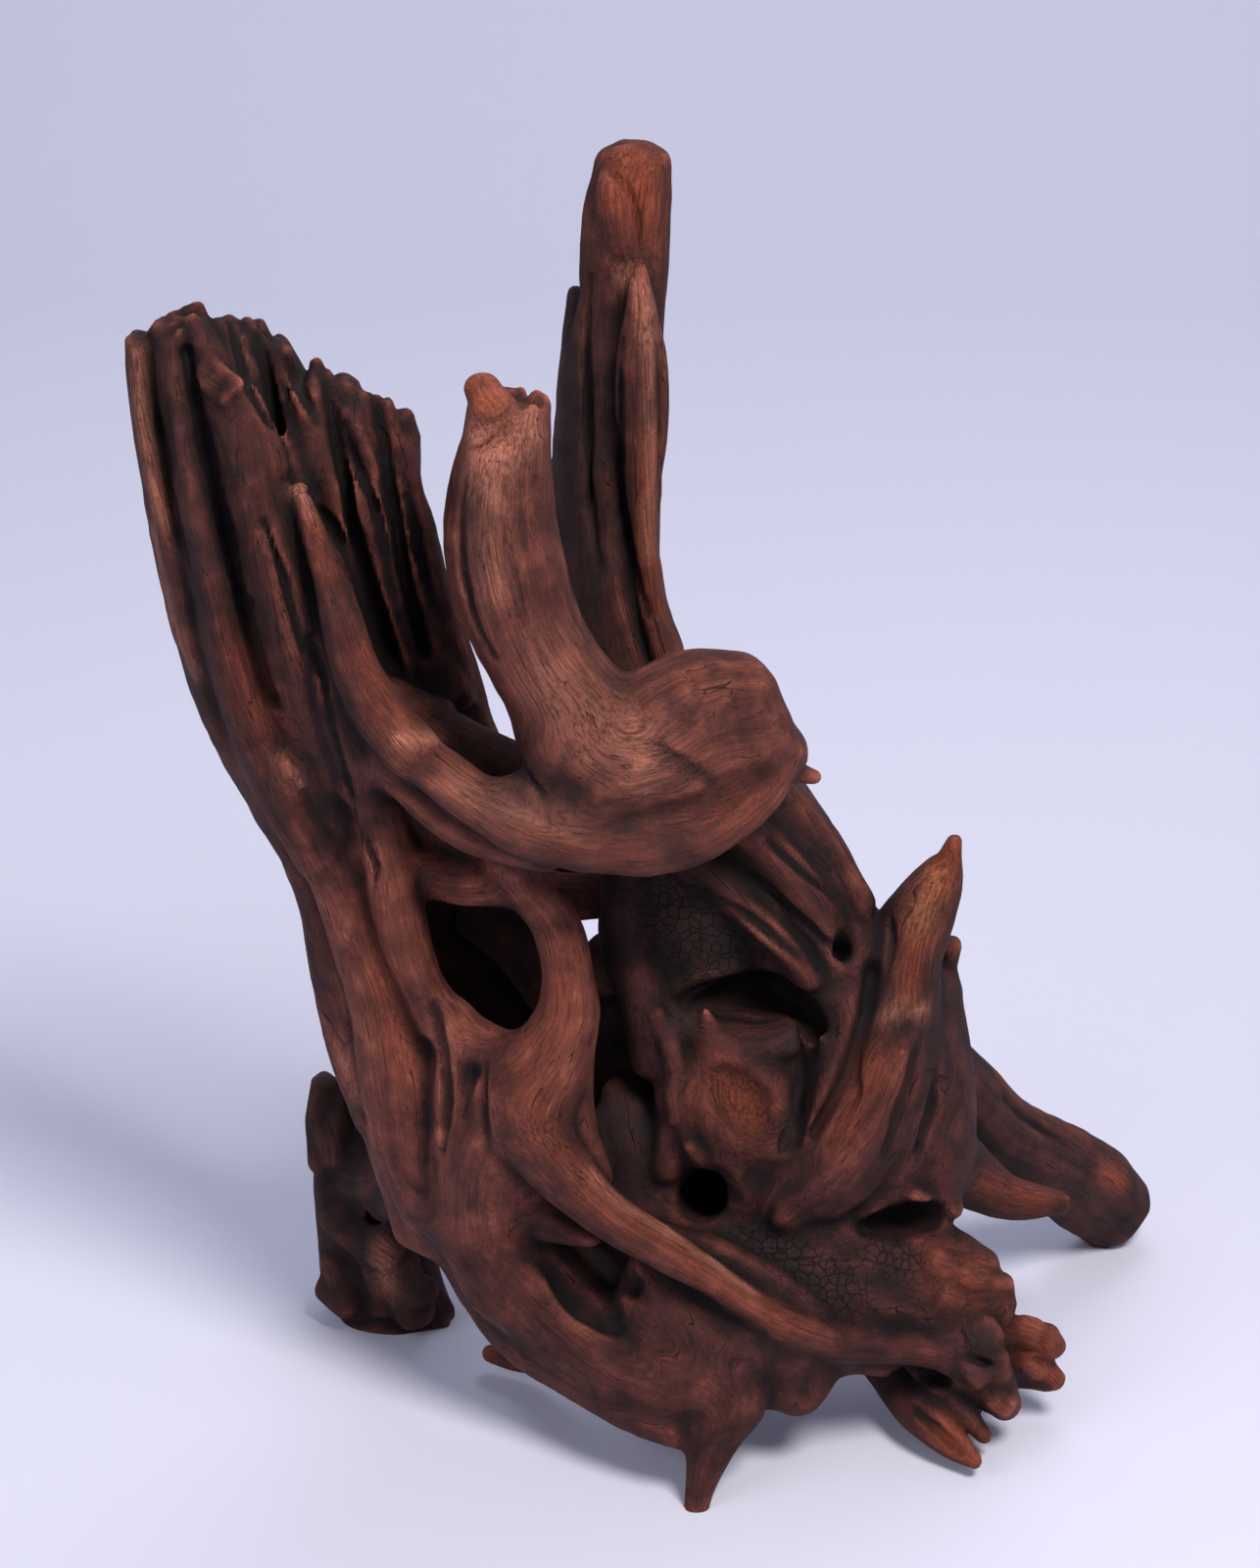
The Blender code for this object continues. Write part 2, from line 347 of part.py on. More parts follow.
CROWN = [
    # The rear trunk that carries the post, with its peeled layers.
    Limb((22, 262, 112, 20, 22), (37, 244, 108, 19, 22), (50, 226, 102, 19, 22), (59, 208, 98, 19, 22),
         (68, 188, 94, 20, 22), (72, 168, 90, 20, 22), blend=8),
    Limb((50.5, 244, 94, 5, 8), (59.5, 234, 92, 6, 8), (68, 221, 90, 6, 8), (77, 207, 88, 5, 8), blend=2),
    Limb((30, 240, 84, 6, 8), (44, 226, 78, 6, 8), (56, 212, 74, 6, 8), (65, 198, 72, 5, 7),
         (69, 186, 74, 5, 6), blend=2),
    Limb((38, 238, 90, 4, 6), (50, 222, 83, 5, 7), (61, 206, 78, 5, 7), (70, 193, 76, 4, 6), blend=2),
    Limb((14, 226, 80, 5, 6), (29, 214, 73, 5, 6), (43, 200, 70, 5, 6), (54, 189, 69, 4, 6),
         (60, 181, 70, 4, 5), blend=2),
    # The charred face under the hook.
    Limb((-2, 222, 92, 8, 14), (-2.5, 205, 84, 9, 16), (-1, 188, 78, 9, 16), (5, 172, 68, 9, 16),
         (7, 156, 66, 8, 14), blend=4),
    Limb((20, 226, 96, 22, 18), (22, 204, 90, 24, 18), (24, 184, 88, 22, 16), blend=8),
    Limb((14, 212, 116, 22, 14), (30, 186, 114, 34, 16), (40, 158, 110, 40, 22), (46, 130, 100, 44, 28),
         (52, 102, 84, 38, 26), (56, 86, 72, 26, 18), blend=10),
    Limb((4, 146, 92, 14, 14), (10, 126, 86, 16, 14), (20, 106, 90, 18, 12), blend=8),
    Limb((-8, 188, 114, 8, 10), (-6, 173, 108, 9, 10), (0, 158, 104, 10, 10), blend=6),
    Limb((44, 230, 92, 16, 14), (54, 210, 87, 19, 14), (60, 190, 84, 19, 12), (62, 172, 82, 18, 12),
         blend=8),
    Limb((14, 172, 86, 14, 14), (34, 150, 74, 28, 20), (46, 130, 66, 30, 20), (54, 110, 60, 26, 16),
         (62, 94, 54, 18, 12), blend=8),
    Limb((100, 176, 94, 12, 14), (96, 150, 82, 20, 16), (90, 126, 70, 26, 16), (84, 106, 62, 26, 12),
         blend=8),
    # The burl and the lobes left of it.
    Limb((36, 154, 57, 14, 10), (36, 140, 52, 20, 10), (38, 126, 53, 16, 9), blend=5),
    Limb((26, 156, 58, 5, 9), (20, 144, 54, 5, 10), (19, 130, 54, 5, 10), (27, 118, 56, 5, 9),
         (40, 113, 56, 5, 8), blend=3),
    Limb((-3, 139, 68, 8, 10), (-2, 131, 62, 11, 11), (1, 120, 60, 11, 10), blend=5),
    Limb((12, 166, 62, 6, 10), (14, 150, 60, 7, 12), (14, 132, 58, 7, 12), (12, 118, 56, 7, 10), blend=3),
    # The plate over the cave, left of the fin.
    Limb((22, 164, 62, 6, 8), (34, 159, 58, 6, 9), (46, 159, 58, 6, 9), (58, 162, 62, 7, 9), blend=4),
    Limb((25, 170, 58, 1.5, 2.5), (27, 162, 55, 4, 4), (31, 153, 50, 6, 5), blend=2),
    Limb((50, 150, 64, 8, 9), (53, 138, 60, 8, 10), (51, 124, 55, 8, 9), blend=4),
    # The fin that rises into the horn.
    Limb((109.5, 227, 86, 2.5, 4), (107, 217, 85, 5.5, 7), (101, 204, 83, 9, 9), (95, 190, 80, 11, 11),
         (91, 172, 74, 13, 14), (86, 152, 66, 16, 18), (78, 132, 58, 17, 18), (67, 115, 51, 15, 16),
         (54, 104, 48, 10, 12), blend=5, fray=2),
    Limb((103, 219, 87, 3, 6), (95, 210, 87, 4.5, 8), (89.5, 199, 88, 5.5, 10), (88, 184, 88, 6, 10),
         blend=3, fray=2),
    Limb((76, 194, 86, 7, 9), (75, 168, 70, 8, 9), (71, 144, 58, 8, 9), (62, 124, 50, 7, 8),
         (51, 109, 48, 5, 8), blend=5),
    Limb((64, 180, 84, 6, 8), (63, 160, 70, 6, 9), (59, 140, 60, 6, 9), (53, 122, 53, 5, 8), blend=4),
    Limb((84, 178, 84, 8, 10), (77, 158, 71, 11, 12), (69, 138, 60, 13, 12), (60, 120, 54, 12, 10), blend=10),
    Limb((70, 104, 76, 12, 10), (86, 99, 78, 13, 9), (100, 98, 80, 12, 9), blend=6),
    Limb((97, 186, 76, 5, 7), (95, 165, 66, 6, 8), (88, 144, 56, 6, 8), (78, 124, 48, 6, 8),
         (65, 112, 45, 5, 7), blend=4),
    Limb((100.5, 180, 96, 7, 14), (102, 161, 92, 10.5, 18), (105, 140, 86, 12, 20),
         (104, 120, 80, 12, 18), (98, 104, 76, 10, 14), blend=6),
    Limb((98, 174, 84, 6, 10), (99, 156, 76, 9, 14), (96, 138, 70, 10, 15), (90, 120, 62, 11, 14),
         (84, 110, 60, 10, 10), blend=8),
    Limb((108, 192, 96, 4, 5), (108, 184, 96, 2, 5), (105, 174, 96, 5, 6), blend=2, cap=0.5),
    # The arm at the right, and the stub in front of it.
    Limb((94, 158, 108, 15, 16), (109, 143, 122, 15, 15), (125, 127, 138, 14.5, 13),
         (140, 118.5, 154, 15, 12), (154, 110, 170, 16, 11), (165.5, 100, 184, 13.5, 10), blend=6, fray=3,
         cap=0.3),
    Limb((104, 122, 84, 12, 12), (114, 114, 90, 11, 9), (126, 107, 97, 8, 7), (146, 104, 106, 4, 5),
         blend=5, fray=2, cap=0.5),
    # The jagged plate at the lower right with its knobs and fangs.
    Limb((60, 88, 50, 14, 12), (80, 82, 48, 16, 11), (98, 74, 50, 17, 10), (114, 70, 54, 14, 8),
         (125, 70, 57, 10, 7), blend=6, fray=3, cap=0.6),
    Limb((94, 92, 58, 8, 11), (106, 89, 60, 8, 11), (118, 83, 60, 6, 8), blend=4, fray=2),
    Limb((96, 60, 48, 10, 9), (110, 54, 46, 13, 10), (121, 44, 43, 9, 9), (127, 36, 41, 5.5, 6), blend=5),
    Limb((118, 62, 56, 8, 8), (130, 60, 58, 6, 8), (140, 58, 59, 5.5, 6), blend=3),
    Limb((116, 54, 56, 9, 8), (128, 52, 58, 8, 8), (138, 51, 59, 6, 6), blend=3),
    Limb((124, 47, 58, 6, 6), (133, 46, 59, 4.5, 5), (141, 45.5, 59, 5.5, 5), blend=2.5),
    Limb((82, 54, 60, 7, 8), (91, 42, 53, 7, 7), (101, 30, 36, 7, 6), (111, 21, 26, 5, 5),
         (117, 16.5, 20, 2.5, 3), blend=4, fray=1, cap=0.6),
    Limb((98, 50, 48, 5, 5), (109, 37, 40, 4, 5), (120, 25, 32, 2.5, 3.5), blend=2.5),
]

REAR = [
    # The rear root, from the post's foot to the block at the back left.
    Limb((10, 268, 132, 18, 18), (-8, 240, 142, 16, 18), (-34, 218, 146, 14, 18), (-52, 192, 146, 15, 18),
         (-60, 165, 144, 18, 18), (-70, 135, 142, 20, 18), (-80, 104, 138, 18, 17), blend=8),
    Limb((-18, 262, 152, 5, 7), (-36, 232, 160, 6, 8), (-56, 205, 162, 6, 8), (-68, 170, 160, 7, 8),
         (-78, 135, 156, 7, 8), (-88, 100, 148, 7, 8), blend=4),
    # The swellings of the back.
    Limb((2, 300, 144, 5, 8), (14, 262, 142, 8, 9), (34, 228, 138, 10, 10), (56, 192, 134, 11, 10),
         (78, 156, 130, 12, 10), (104, 132, 130, 9, 9), (132, 112, 146, 6, 8), blend=10),
    Limb((6, 262, 144, 7, 8), (12, 222, 136, 9, 9), (24, 182, 132, 11, 10), (34, 146, 128, 13, 10),
         (42, 118, 116, 12, 9), blend=9),
    Limb((-2, 236, 142, 6, 8), (1, 205, 130, 7, 8), (2, 172, 126, 9, 9), (3, 145, 116, 11, 9), blend=9),
    # The block at the back left, and what ties it to the trunk.
    Limb((-101.5, 141, 148, 7.5, 12), (-98.5, 122, 144, 10, 14), (-94, 102, 139, 13.5, 15),
         (-88, 86, 134, 19.5, 15), (-81, 72, 129, 19, 13), (-71, 61, 125, 13, 10), blend=5, fray=3,
         cap=0.7),
    Limb((-104, 118, 138, 4, 8), (-101, 98, 132, 6, 9), (-97, 82, 126, 8, 9), (-92, 72, 122, 7, 8),
         blend=3),
    Limb((-84, 104, 124, 5, 7), (-81, 86, 118, 7, 8), (-74, 68, 114, 7, 7), blend=3),
    Limb((-84, 112, 132, 14, 14), (-74, 112, 110, 14, 14), (-62, 106, 88, 14, 14), blend=8),
]

HOLLOWS = [
    # The round hole under the burl, the cavity below the fin, the cave over the burl, the recess
    # below the long root, the folds of the fin and the dark gap behind the fangs.
    Limb((23, 106, 22, 12, 9), (24, 107, 48, 10, 8.5), (26, 108, 74, 7, 8), blend=5),
    Limb((18, 109, 24, 6, 6), (29, 104, 30, 6, 6), (34, 103, 42, 4, 4), blend=4),
    Limb((82, 96, 44, 3, 9), (91, 98, 49, 5.5, 15), (101, 100, 55, 5, 13), blend=3),
    Limb((24, 172, 68, 3, 10), (34, 175, 72, 6, 16), (46, 176, 76, 8, 17), (56, 172, 74, 6, 14),
         (62, 163, 66, 4, 10), blend=4),
    Limb((58, 168, 62, 3, 9), (60, 154, 56, 3.5, 9), (58, 140, 50, 3, 8), (55, 126, 46, 2, 6), blend=4),
    Limb((82, 184, 74, 1.5, 4), (79, 166, 60, 2.5, 5), (72, 146, 50, 2.5, 5), (62, 128, 46, 1.5, 4),
         blend=4),
    Limb((95, 180, 63, 1.5, 3), (91, 162, 52, 2, 3.5), (84, 142, 42, 2, 3.5), (74, 124, 38, 1.5, 3),
         blend=4),
    Limb((-24, 86, 36, 3, 6), (-13, 82, 32, 7, 12), (0, 76, 26, 4, 6), blend=4),
    Limb((91, 44, 38, 3, 6), (98, 45, 40, 5, 8), (105, 45, 42, 3, 6), blend=2),
    # The long crack of the slab, and the small knot holes.
    Limb((-152, 394, 76, 1.3, 8), (-145, 365, 70, 1.5, 8), (-138, 335, 65, 1.5, 8),
         (-131, 305, 62, 1.4, 8), (-120, 272, 62, 1, 6), blend=1),
    # The valleys between the ridges of the right half.
    Limb((-127, 398, 92, 1.6, 7), (-119, 362, 88, 1.6, 7), (-113, 336, 85, 1.3, 5), blend=2),
    Limb((-105, 390, 92, 1.8, 7), (-99, 355, 89, 1.8, 7), (-91, 318, 90, 1.8, 7), (-82, 288, 92, 1.5, 6),
         blend=2.5),
    Limb((-87, 380, 99, 1.6, 6), (-83, 352, 96, 1.6, 7), (-78, 320, 95, 1.6, 7), (-71, 292, 95, 1.4, 6),
         blend=2.5),
    Limb((-87, 101, 120, 4, 4), (-86, 101, 136, 3, 3), (-85, 101, 146, 2, 2), blend=1),
    Limb((74, 196, 62, 2, 4), (72, 192, 72, 4, 5), (69, 188, 80, 2.5, 3), blend=3),
]


def soft_min(a, b, blend):
    """The lower of two depths, with a fillet as wide as the blend where they meet."""
    h = np.maximum(blend - np.abs(a - b), 0.0) / blend
    return np.minimum(a, b) - h * h * blend / 4


def soft_cut(a, b, blend):
    """The negative of the soft minimum, so that the second shape is taken out of the first."""
    return -soft_min(-a, b, blend)


def grid_axes(limbs):
    """The grid's coordinates along each axis, wide enough to hold every limb."""
    margins = [limb.half.max(axis=1)[:, None] + REACH for limb in limbs]
    low = np.min([(limb.centre - margin).min(axis=0) for limb, margin in zip(limbs, margins)], axis=0)
    high = np.max([(limb.centre + margin).max(axis=0) for limb, margin in zip(limbs, margins)], axis=0)
    return [np.arange(lo, hi, CELL) for lo, hi in zip(low, high)]


def lay(field, limb, axes, join):
    """Joins a limb's depth into the field, at the grid points near it."""
    close, sample = limb.nearest(axes, field.shape)
    index = np.nonzero(close)
    points = np.stack([a[i] for a, i in zip(axes, index)], axis=1)
    field[index] = join(field[index], limb.depth(points, sample[index]), limb.blend)


def wood_field(limbs, hollows, axes):
    """The depth of every grid point outside the wood, below zero inside it."""
    field = np.full([len(a) for a in axes], REACH)
    for limb in limbs:
        lay(field, limb, axes, soft_min)
    for hollow in hollows:
        lay(field, hollow, axes, soft_cut)
    return field


def is_even(order):
    """Whether an ordering of four corners keeps the tetrahedron's handedness."""
    swaps = sum(order[a] > order[b] for a in range(4) for b in range(a + 1, 4))
    return swaps % 2 == 0


def faces_of(inside):
    """The corner pairs whose edges make each face of the skin, for the corners of a tetrahedron inside it."""
    order = [n for n in range(4) if inside[n]] + [n for n in range(4) if not inside[n]]
    if not is_even(order):
        if sum(inside) == 1:
            order = [order[0], order[2], order[1], order[3]]
        else:
            order = [order[1], order[0], order[2], order[3]]
    a, b, c, d = order
    if sum(inside) == 1:
        return [((a, b), (a, c), (a, d))]
    if sum(inside) == 2:
        return [((a, c), (a, d), (b, d)), ((a, c), (b, d), (b, c))]
    return [((d, a), (d, b), (d, c))]


def skin(field, axes):
    """The points and triangles of the closed skin where the field is zero."""
    shape = np.array(field.shape)
    strides = np.array([shape[1] * shape[2], shape[2], 1])
    flat = field.ravel()
    wet = field < 0
    corners = [wet[x:shape[0] - 1 + x, y:shape[1] - 1 + y, z:shape[2] - 1 + z] for x, y, z in CORNERS]
    count = np.sum(corners, axis=0, dtype=np.int8)
    cells = np.stack(np.nonzero((count > 0) & (count < 8)), axis=1) @ strides
    steps = CORNERS @ strides
    faces = []
    for tetrahedron in TETRAHEDRA:
        inside = np.stack([flat[cells + steps[corner]] < 0 for corner in tetrahedron])
        case = (inside * np.array([1, 2, 4, 8])[:, None]).sum(axis=0)
        for number in range(1, 15):
            here = cells[case == number]
            for face in faces_of([number >> n & 1 for n in range(4)]):
                pairs = [sorted((tetrahedron[a], tetrahedron[b])) for a, b in face]
                faces.append(np.stack([(here + steps[a]) * 8 + (b - a) for a, b in pairs], axis=1))
    edges, triangles = np.unique(np.concatenate(faces), return_inverse=True)
    start, way = edges // 8, edges % 8
    first = flat[start]
    share = np.clip(first / (first - flat[start + steps[way]]), EDGE_MARGIN, 1 - EDGE_MARGIN)
    place = np.stack(np.unravel_index(start, field.shape), axis=1) + share[:, None] * CORNERS[way]
    return place * CELL + np.array([a[0] for a in axes]), triangles.reshape(-1, 3)


def keep_largest(mesh):
    """Keeps the one outer skin, so that pockets closed inside the wood are filled."""
    left = set(mesh.verts)
    shells = []
    while left:
        shell = {left.pop()}
        edge = list(shell)
        while edge:
            near = {link.other_vert(vert) for vert in edge for link in vert.link_edges}
            edge = list(near - shell)
            shell.update(edge)
        left -= shell
        shells.append(shell)
    shells.sort(key=len)
    spare = [vert for shell in shells[:-1] for vert in shell]
    bmesh.ops.delete(mesh, geom=spare, context="VERTS")


def thin_out(wood):
    """The wood's mesh with only the triangles that the form needs."""
    modifier = wood.modifiers.new("thin out", "DECIMATE")
    modifier.ratio = TRIANGLES / len(wood.data.polygons)
    mesh = bmesh.new()
    mesh.from_object(wood, bpy.context.evaluated_depsgraph_get())
    wood.modifiers.remove(modifier)
    return mesh


def cut_feet(mesh):
    """Cuts the three feet flat at the floor."""
    everything = mesh.verts[:] + mesh.edges[:] + mesh.faces[:]
    floor = bmesh.ops.bisect_plane(
        mesh, geom=everything, dist=TINY, plane_co=(0, 0, 0), plane_no=(0, 0, 1), clear_inner=True)
    rim = [edge for edge in floor["geom_cut"] if isinstance(edge, bmesh.types.BMEdge)]
    bmesh.ops.holes_fill(mesh, edges=rim)
    bmesh.ops.triangulate(mesh, faces=[face for face in mesh.faces if len(face.verts) > 3])


def make_material():
    material = bpy.data.materials.new("wood")
    material.use_nodes = True
    shader = material.node_tree.nodes["Principled BSDF"]
    shader.inputs["Base Color"].default_value = WOOD_COLOUR
    shader.inputs["Roughness"].default_value = WOOD_ROUGHNESS
    return material


def make_wood(collection):
    limbs = SLAB + splinters() + HOOK + POST + TRUNK + BODY + CROWN + REAR
    axes = grid_axes(limbs)
    points, triangles = skin(wood_field(limbs, HOLLOWS, axes), axes)
    data = bpy.data.meshes.new("driftwood")
    data.from_pydata((points - MIDDLE) * MM, [], triangles)
    wood = bpy.data.objects.new("driftwood", data)
    collection.objects.link(wood)
    mesh = bmesh.new()
    mesh.from_mesh(data)
    keep_largest(mesh)
    mesh.to_mesh(data)
    mesh.free()
    mesh = thin_out(wood)
    cut_feet(mesh)
    mesh.to_mesh(data)
    mesh.free()
    data.materials.append(make_material())
    data.shade_smooth()


def main():
    for old in list(bpy.data.objects):
        bpy.data.objects.remove(old)
    collection = bpy.data.collections.new("aquarium_driftwood")
    bpy.context.scene.collection.children.link(collection)
    make_wood(collection)


main()
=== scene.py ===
"""Dresses the aquarium driftwood: a finer mesh of the wood, its look, a floor, soft light and the camera.

The wood is drawn as limbs, as in the part's source: runs of wood with an oval section, which flow into
each other with a fillet. Limbs, hollows, cracks, stained places and painted shade are measured in millimetres
as the piece is seen from the front, a little from above: right and up in the view, and back for the depth
behind the front foot.
Cracks and knobs lie on the surface that the view shows there. Every point of the wood also has grain
coordinates, across and along the limb it belongs to, for the relief and the material.
"""

import math
import random

import bmesh
import bpy
import numpy as np
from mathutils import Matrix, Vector


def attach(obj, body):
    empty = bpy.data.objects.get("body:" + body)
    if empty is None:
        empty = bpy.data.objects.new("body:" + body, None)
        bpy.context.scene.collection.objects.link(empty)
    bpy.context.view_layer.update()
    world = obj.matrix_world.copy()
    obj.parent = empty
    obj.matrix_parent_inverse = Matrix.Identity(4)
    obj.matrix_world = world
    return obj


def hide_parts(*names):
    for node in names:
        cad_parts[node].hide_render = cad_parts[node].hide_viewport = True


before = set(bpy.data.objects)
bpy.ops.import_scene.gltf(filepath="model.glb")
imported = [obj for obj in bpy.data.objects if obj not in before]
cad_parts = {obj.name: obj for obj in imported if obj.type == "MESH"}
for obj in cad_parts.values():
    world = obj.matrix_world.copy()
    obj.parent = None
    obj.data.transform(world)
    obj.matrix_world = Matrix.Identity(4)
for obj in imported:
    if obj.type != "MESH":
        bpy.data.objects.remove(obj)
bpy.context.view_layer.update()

MM = 0.001
TINY = 1e-6

# The front view that the stations are measured in: how far it looks down, from how far away, the point that
# it looks at and the right and up of that point, how much height it shows, and the camera's sensor.
VIEW_TILT = math.radians(25.0)
VIEW_DISTANCE = 1500.0
VIEW_CENTRE = np.array([0.0, 80.0, 240.6])
CENTRE_RIGHT = -0.7
CENTRE_UP = 246.7
VIEW_HEIGHT = 533.3
SENSOR = 36.0

# The point of the floor that lies under the middle of the piece.
MIDDLE = np.array([16.9, 96.5, 0.0])

# The coarse cells that the form is drawn in, and the finer ones that its skin is laid over.
CELL = 2.5
SPLIT = 2
FINE_CELL = CELL / SPLIT
# How far round a limb its depth is worked out, and how far from the skin the fine cells are.
REACH = 14.0
BAND = 5.5
# The samples along a limb: how far apart, the fewest, how many are tried at once, and how often a point's
# place between two of them is corrected.
SAMPLE_STEP = 4.0
LEAST_SAMPLES = 4
SAMPLES_AT_ONCE = 6
NEARING_STEPS = 2
# How far the skin's points stay from the ends of their edges, and the triangles it is thinned to.
EDGE_MARGIN = 0.02
TRIANGLES = 193000

# The thinnest half width of a limb, the width of the fibres that its torn ends fray into, and how far from
# an end they start, in depths of the fray.
THINNEST = 0.8
GRAIN_WIDTH = 4.0
FRAY_REACH = 3.0

# The splinters along the slab's torn edge: where it starts at the left, how far it runs, and how far each
# splinter may lie from its even place. Each one's course goes down from there, in steps of (right, up, back,
# share of its half width, half depth).
SPLINTERS = 17
SPLINTER_SEED = 3
SPLINTER_EDGE = (-133.0, 404.0, 95.0)
SPLINTER_EDGE_RUN = (57.0, -31.0, 8.0)
SPLINTER_SPREAD = (0.2, 0.8)
SPLINTER_RISE = (-11.0, 0.0)
SPLINTER_SHIFT = (-6.0, 8.0)
SPLINTER_HALF = (1.8, 3.0)
SPLINTER_COURSE = ((0, 0, 0, 0.7, 4), (3, -14, 0, 1.0, 6), (12, -50, 0, 1.2, 8), (34, -118, 4, 1.5, 8))

# How wide the change from one limb's grain and colour to the next one's is.
GRAIN_BLEND = 2.2

# The depths at which a sight line is tried for the surface: from, up to and step.
SIGHT_RUN = (-70.0, 230.0, 1.0)
# The courses of cracks, knobs and stains: how far apart their points are on the surface, and the weights
# that even out a crack's depths.
COURSE_STEP = 2.5
EVEN_OUT = (0.1, 0.2, 0.4, 0.2, 0.1)
# How far from its narrow end a crack starts, as an angle, its fillet for each unit of its width, and the
# fillet of a knob.
CRACK_END = 0.35
CRACK_BLEND = 0.6
KNOB_BLEND = 2.0
# How far from the skin the relief is worked out, and how many cells at once.
RELIEF_REACH = 4.0
CELLS_AT_ONCE = 60000
# How much of its neighbours each point of the field takes on, so that narrow cracks keep smooth edges.
SOFTENING = 0.2

# The relief: lumps as (height, size), ridges as (height, across, along, shift), and the depth and the sizes
# of torn grain.
LUMPS = ((0.6, 14.0), (0.3, 5.5))
RIDGES = ((0.6, 3.2, 45.0, 0.0), (0.9, 8.5, 110.0, 20.0))
TORN_DEPTH = 0.9
TORN_SIZES = (2.2, 5.0)

# How far out of the skin a place's enclosure is felt, for the painted shade in crevices, and how often the
# curvature is evened out.
CREVICE_SHADE_REACHES = (5.0, 11.0)
CURVATURE_PASSES = 1

# The material's noises: the scale per millimetre across, through and along the grain, or in the open for the
# mottling and the specks, the detail and the roughness.
FIBRES = ((1.5, 1.5, 0.05), 5.0, 0.65)
HAIRS = ((4.5, 4.5, 0.12), 3.0, 0.6)
BANDS = ((0.26, 0.26, 0.012), 3.0, 0.55)
CHECKS = ((0.42, 0.42, 0.02), 1.0, 0.5)
MOTTLE = ((0.075, 0.075, 0.075), 5.0, 0.62)
SPECKS = ((0.9, 0.9, 0.9), 4.0, 0.75)
NOISE_MIDDLE = 0.5

# How much each of them, the curvature, the enclosure and the fine checks change the tone: the curvature
# lightens worn ridges and lays painted shade in creases, and the enclosure lays painted shade in crevices.
FIBRE_SHARE = 0.55
BAND_SHARE = 0.6
MOTTLE_SHARE = 0.9
HAIR_SHARE = 0.25
SPECK_SHARE = 0.25
WEAR_AND_CREASE_SHADE_SHARE = 1.8
CREVICE_SHADE_SHARE = 0.3
CHECK_SHARE = 0.35

# The width of a fine check in its noise, and the range of the bands in which the checks come up.
CHECK_WIDTH = 0.012
CHECKED_BANDS = (0.5, 0.6)

# The wood's colours from the darkest tone to the lightest one.
WOOD_COLOURS = ((0.0, (0.006, 0.003, 0.003)), (0.25, (0.024, 0.007, 0.006)), (0.5, (0.070, 0.019, 0.014)),
                (0.75, (0.165, 0.045, 0.029)), (1.0, (0.34, 0.108, 0.064)))
# The fresh breaks: the kind of stain, and its colours in the dips and on the tops of the fibres. Between them
# the noises of the fibres and the specks run through these ranges, and the specks leave a least share.
BREAK_COLOURS = (("rust", (0.10, 0.019, 0.010), (0.42, 0.090, 0.038)),
                 ("torn", (0.15, 0.038, 0.025), (0.68, 0.27, 0.175)),
                 ("gold", (0.15, 0.042, 0.018), (0.54, 0.20, 0.09)))
BREAK_FIBRES = (0.34, 0.64)
BREAK_SPECKS = (0.3, 0.62)
BREAK_LEAST = 0.45
# The colours of charring, also used as painted shade in hollows, folds and under overhangs, and how much of
# the wood's colour they cover.
CHAR_AND_SHADE_COLOURS = ((0.3, (0.009, 0.006, 0.007)), (0.7, (0.036, 0.017, 0.015)))
CHAR_AND_SHADE_SHARE = 0.95

# The small plates of split skin: how many to a millimetre, and the splits' width, colour and cover.
PLATE_SCALE = 0.27
PLATE_SPLIT = 0.075
SPLIT_COLOUR = (0.006, 0.004, 0.004, 1.0)
SPLIT_SHARE = 0.8

# The gloss: the roughness between the dips and the tops of the fibres, and the specular level.
ROUGHNESS = (0.6, 0.9)
SPECULAR = 0.22
# The fine relief of the hairs, the fibres, the specks and the splits: height in metres, and strength.
HAIR_RELIEF = (0.0003, 0.6)
FIBRE_RELIEF = (0.0009, 0.8)
SPECK_RELIEF = (0.0006, 0.5)
SPLIT_RELIEF = (0.0010, 0.9)

STAIN_AND_SHADE_KINDS = ("torn", "rust", "gold", "char_and_shade", "crackle")
# The columns of what each point gets from the limbs near it.
GRAIN, TONE, ROUGH = slice(3), 3, 4

# The pale floor that sweeps up behind the wood, in metres.
FLOOR_FRONT = -3.0
FLOOR_BACK = 1.2
FLOOR_HALF_WIDTH = 4.0
SWEEP_RADIUS = 0.8
SWEEP_STEPS = 16
WALL_TOP = 4.0
FLOOR_COLOUR = (0.66, 0.66, 0.76)
FLOOR_ROUGHNESS = 0.9

# The lights: name, place, size, power and colour, all aimed at one point of the wood.
LIGHT_AIM = Vector((0.0, 0.0, 0.2))
LIGHTS = (
    ("key", (0.6, -1.0, 1.8), 0.7, 38.0, (1.0, 0.96, 0.92)),
    ("fill", (-1.5, -1.3, 1.1), 1.4, 11.0, (0.92, 0.94, 1.0)),
    ("rim", (0.2, 1.0, 1.7), 1.0, 8.0, (0.9, 0.93, 1.0)),
)
# The room's light, even from all round.
ROOM_COLOUR = (0.74, 0.77, 1.0)
ROOM_LIGHT = 0.42

# The view's directions: to the right, up, and towards the eye.
RIGHT_WAY = np.array([1.0, 0.0, 0.0])
UP_WAY = np.array([0.0, math.sin(VIEW_TILT), math.cos(VIEW_TILT)])
EYE_WAY = np.array([0.0, -math.cos(VIEW_TILT), math.sin(VIEW_TILT)])
EYE = VIEW_CENTRE + VIEW_DISTANCE * EYE_WAY

# The eight corners of a cell, numbered by their bits, and the six tetrahedra round its long diagonal.
CORNERS = np.array([[n & 1, n >> 1 & 1, n >> 2 & 1] for n in range(8)])
TETRAHEDRA = ((0, 1, 3, 7), (0, 3, 2, 7), (0, 2, 6, 7), (0, 6, 4, 7), (0, 4, 5, 7), (0, 5, 1, 7))
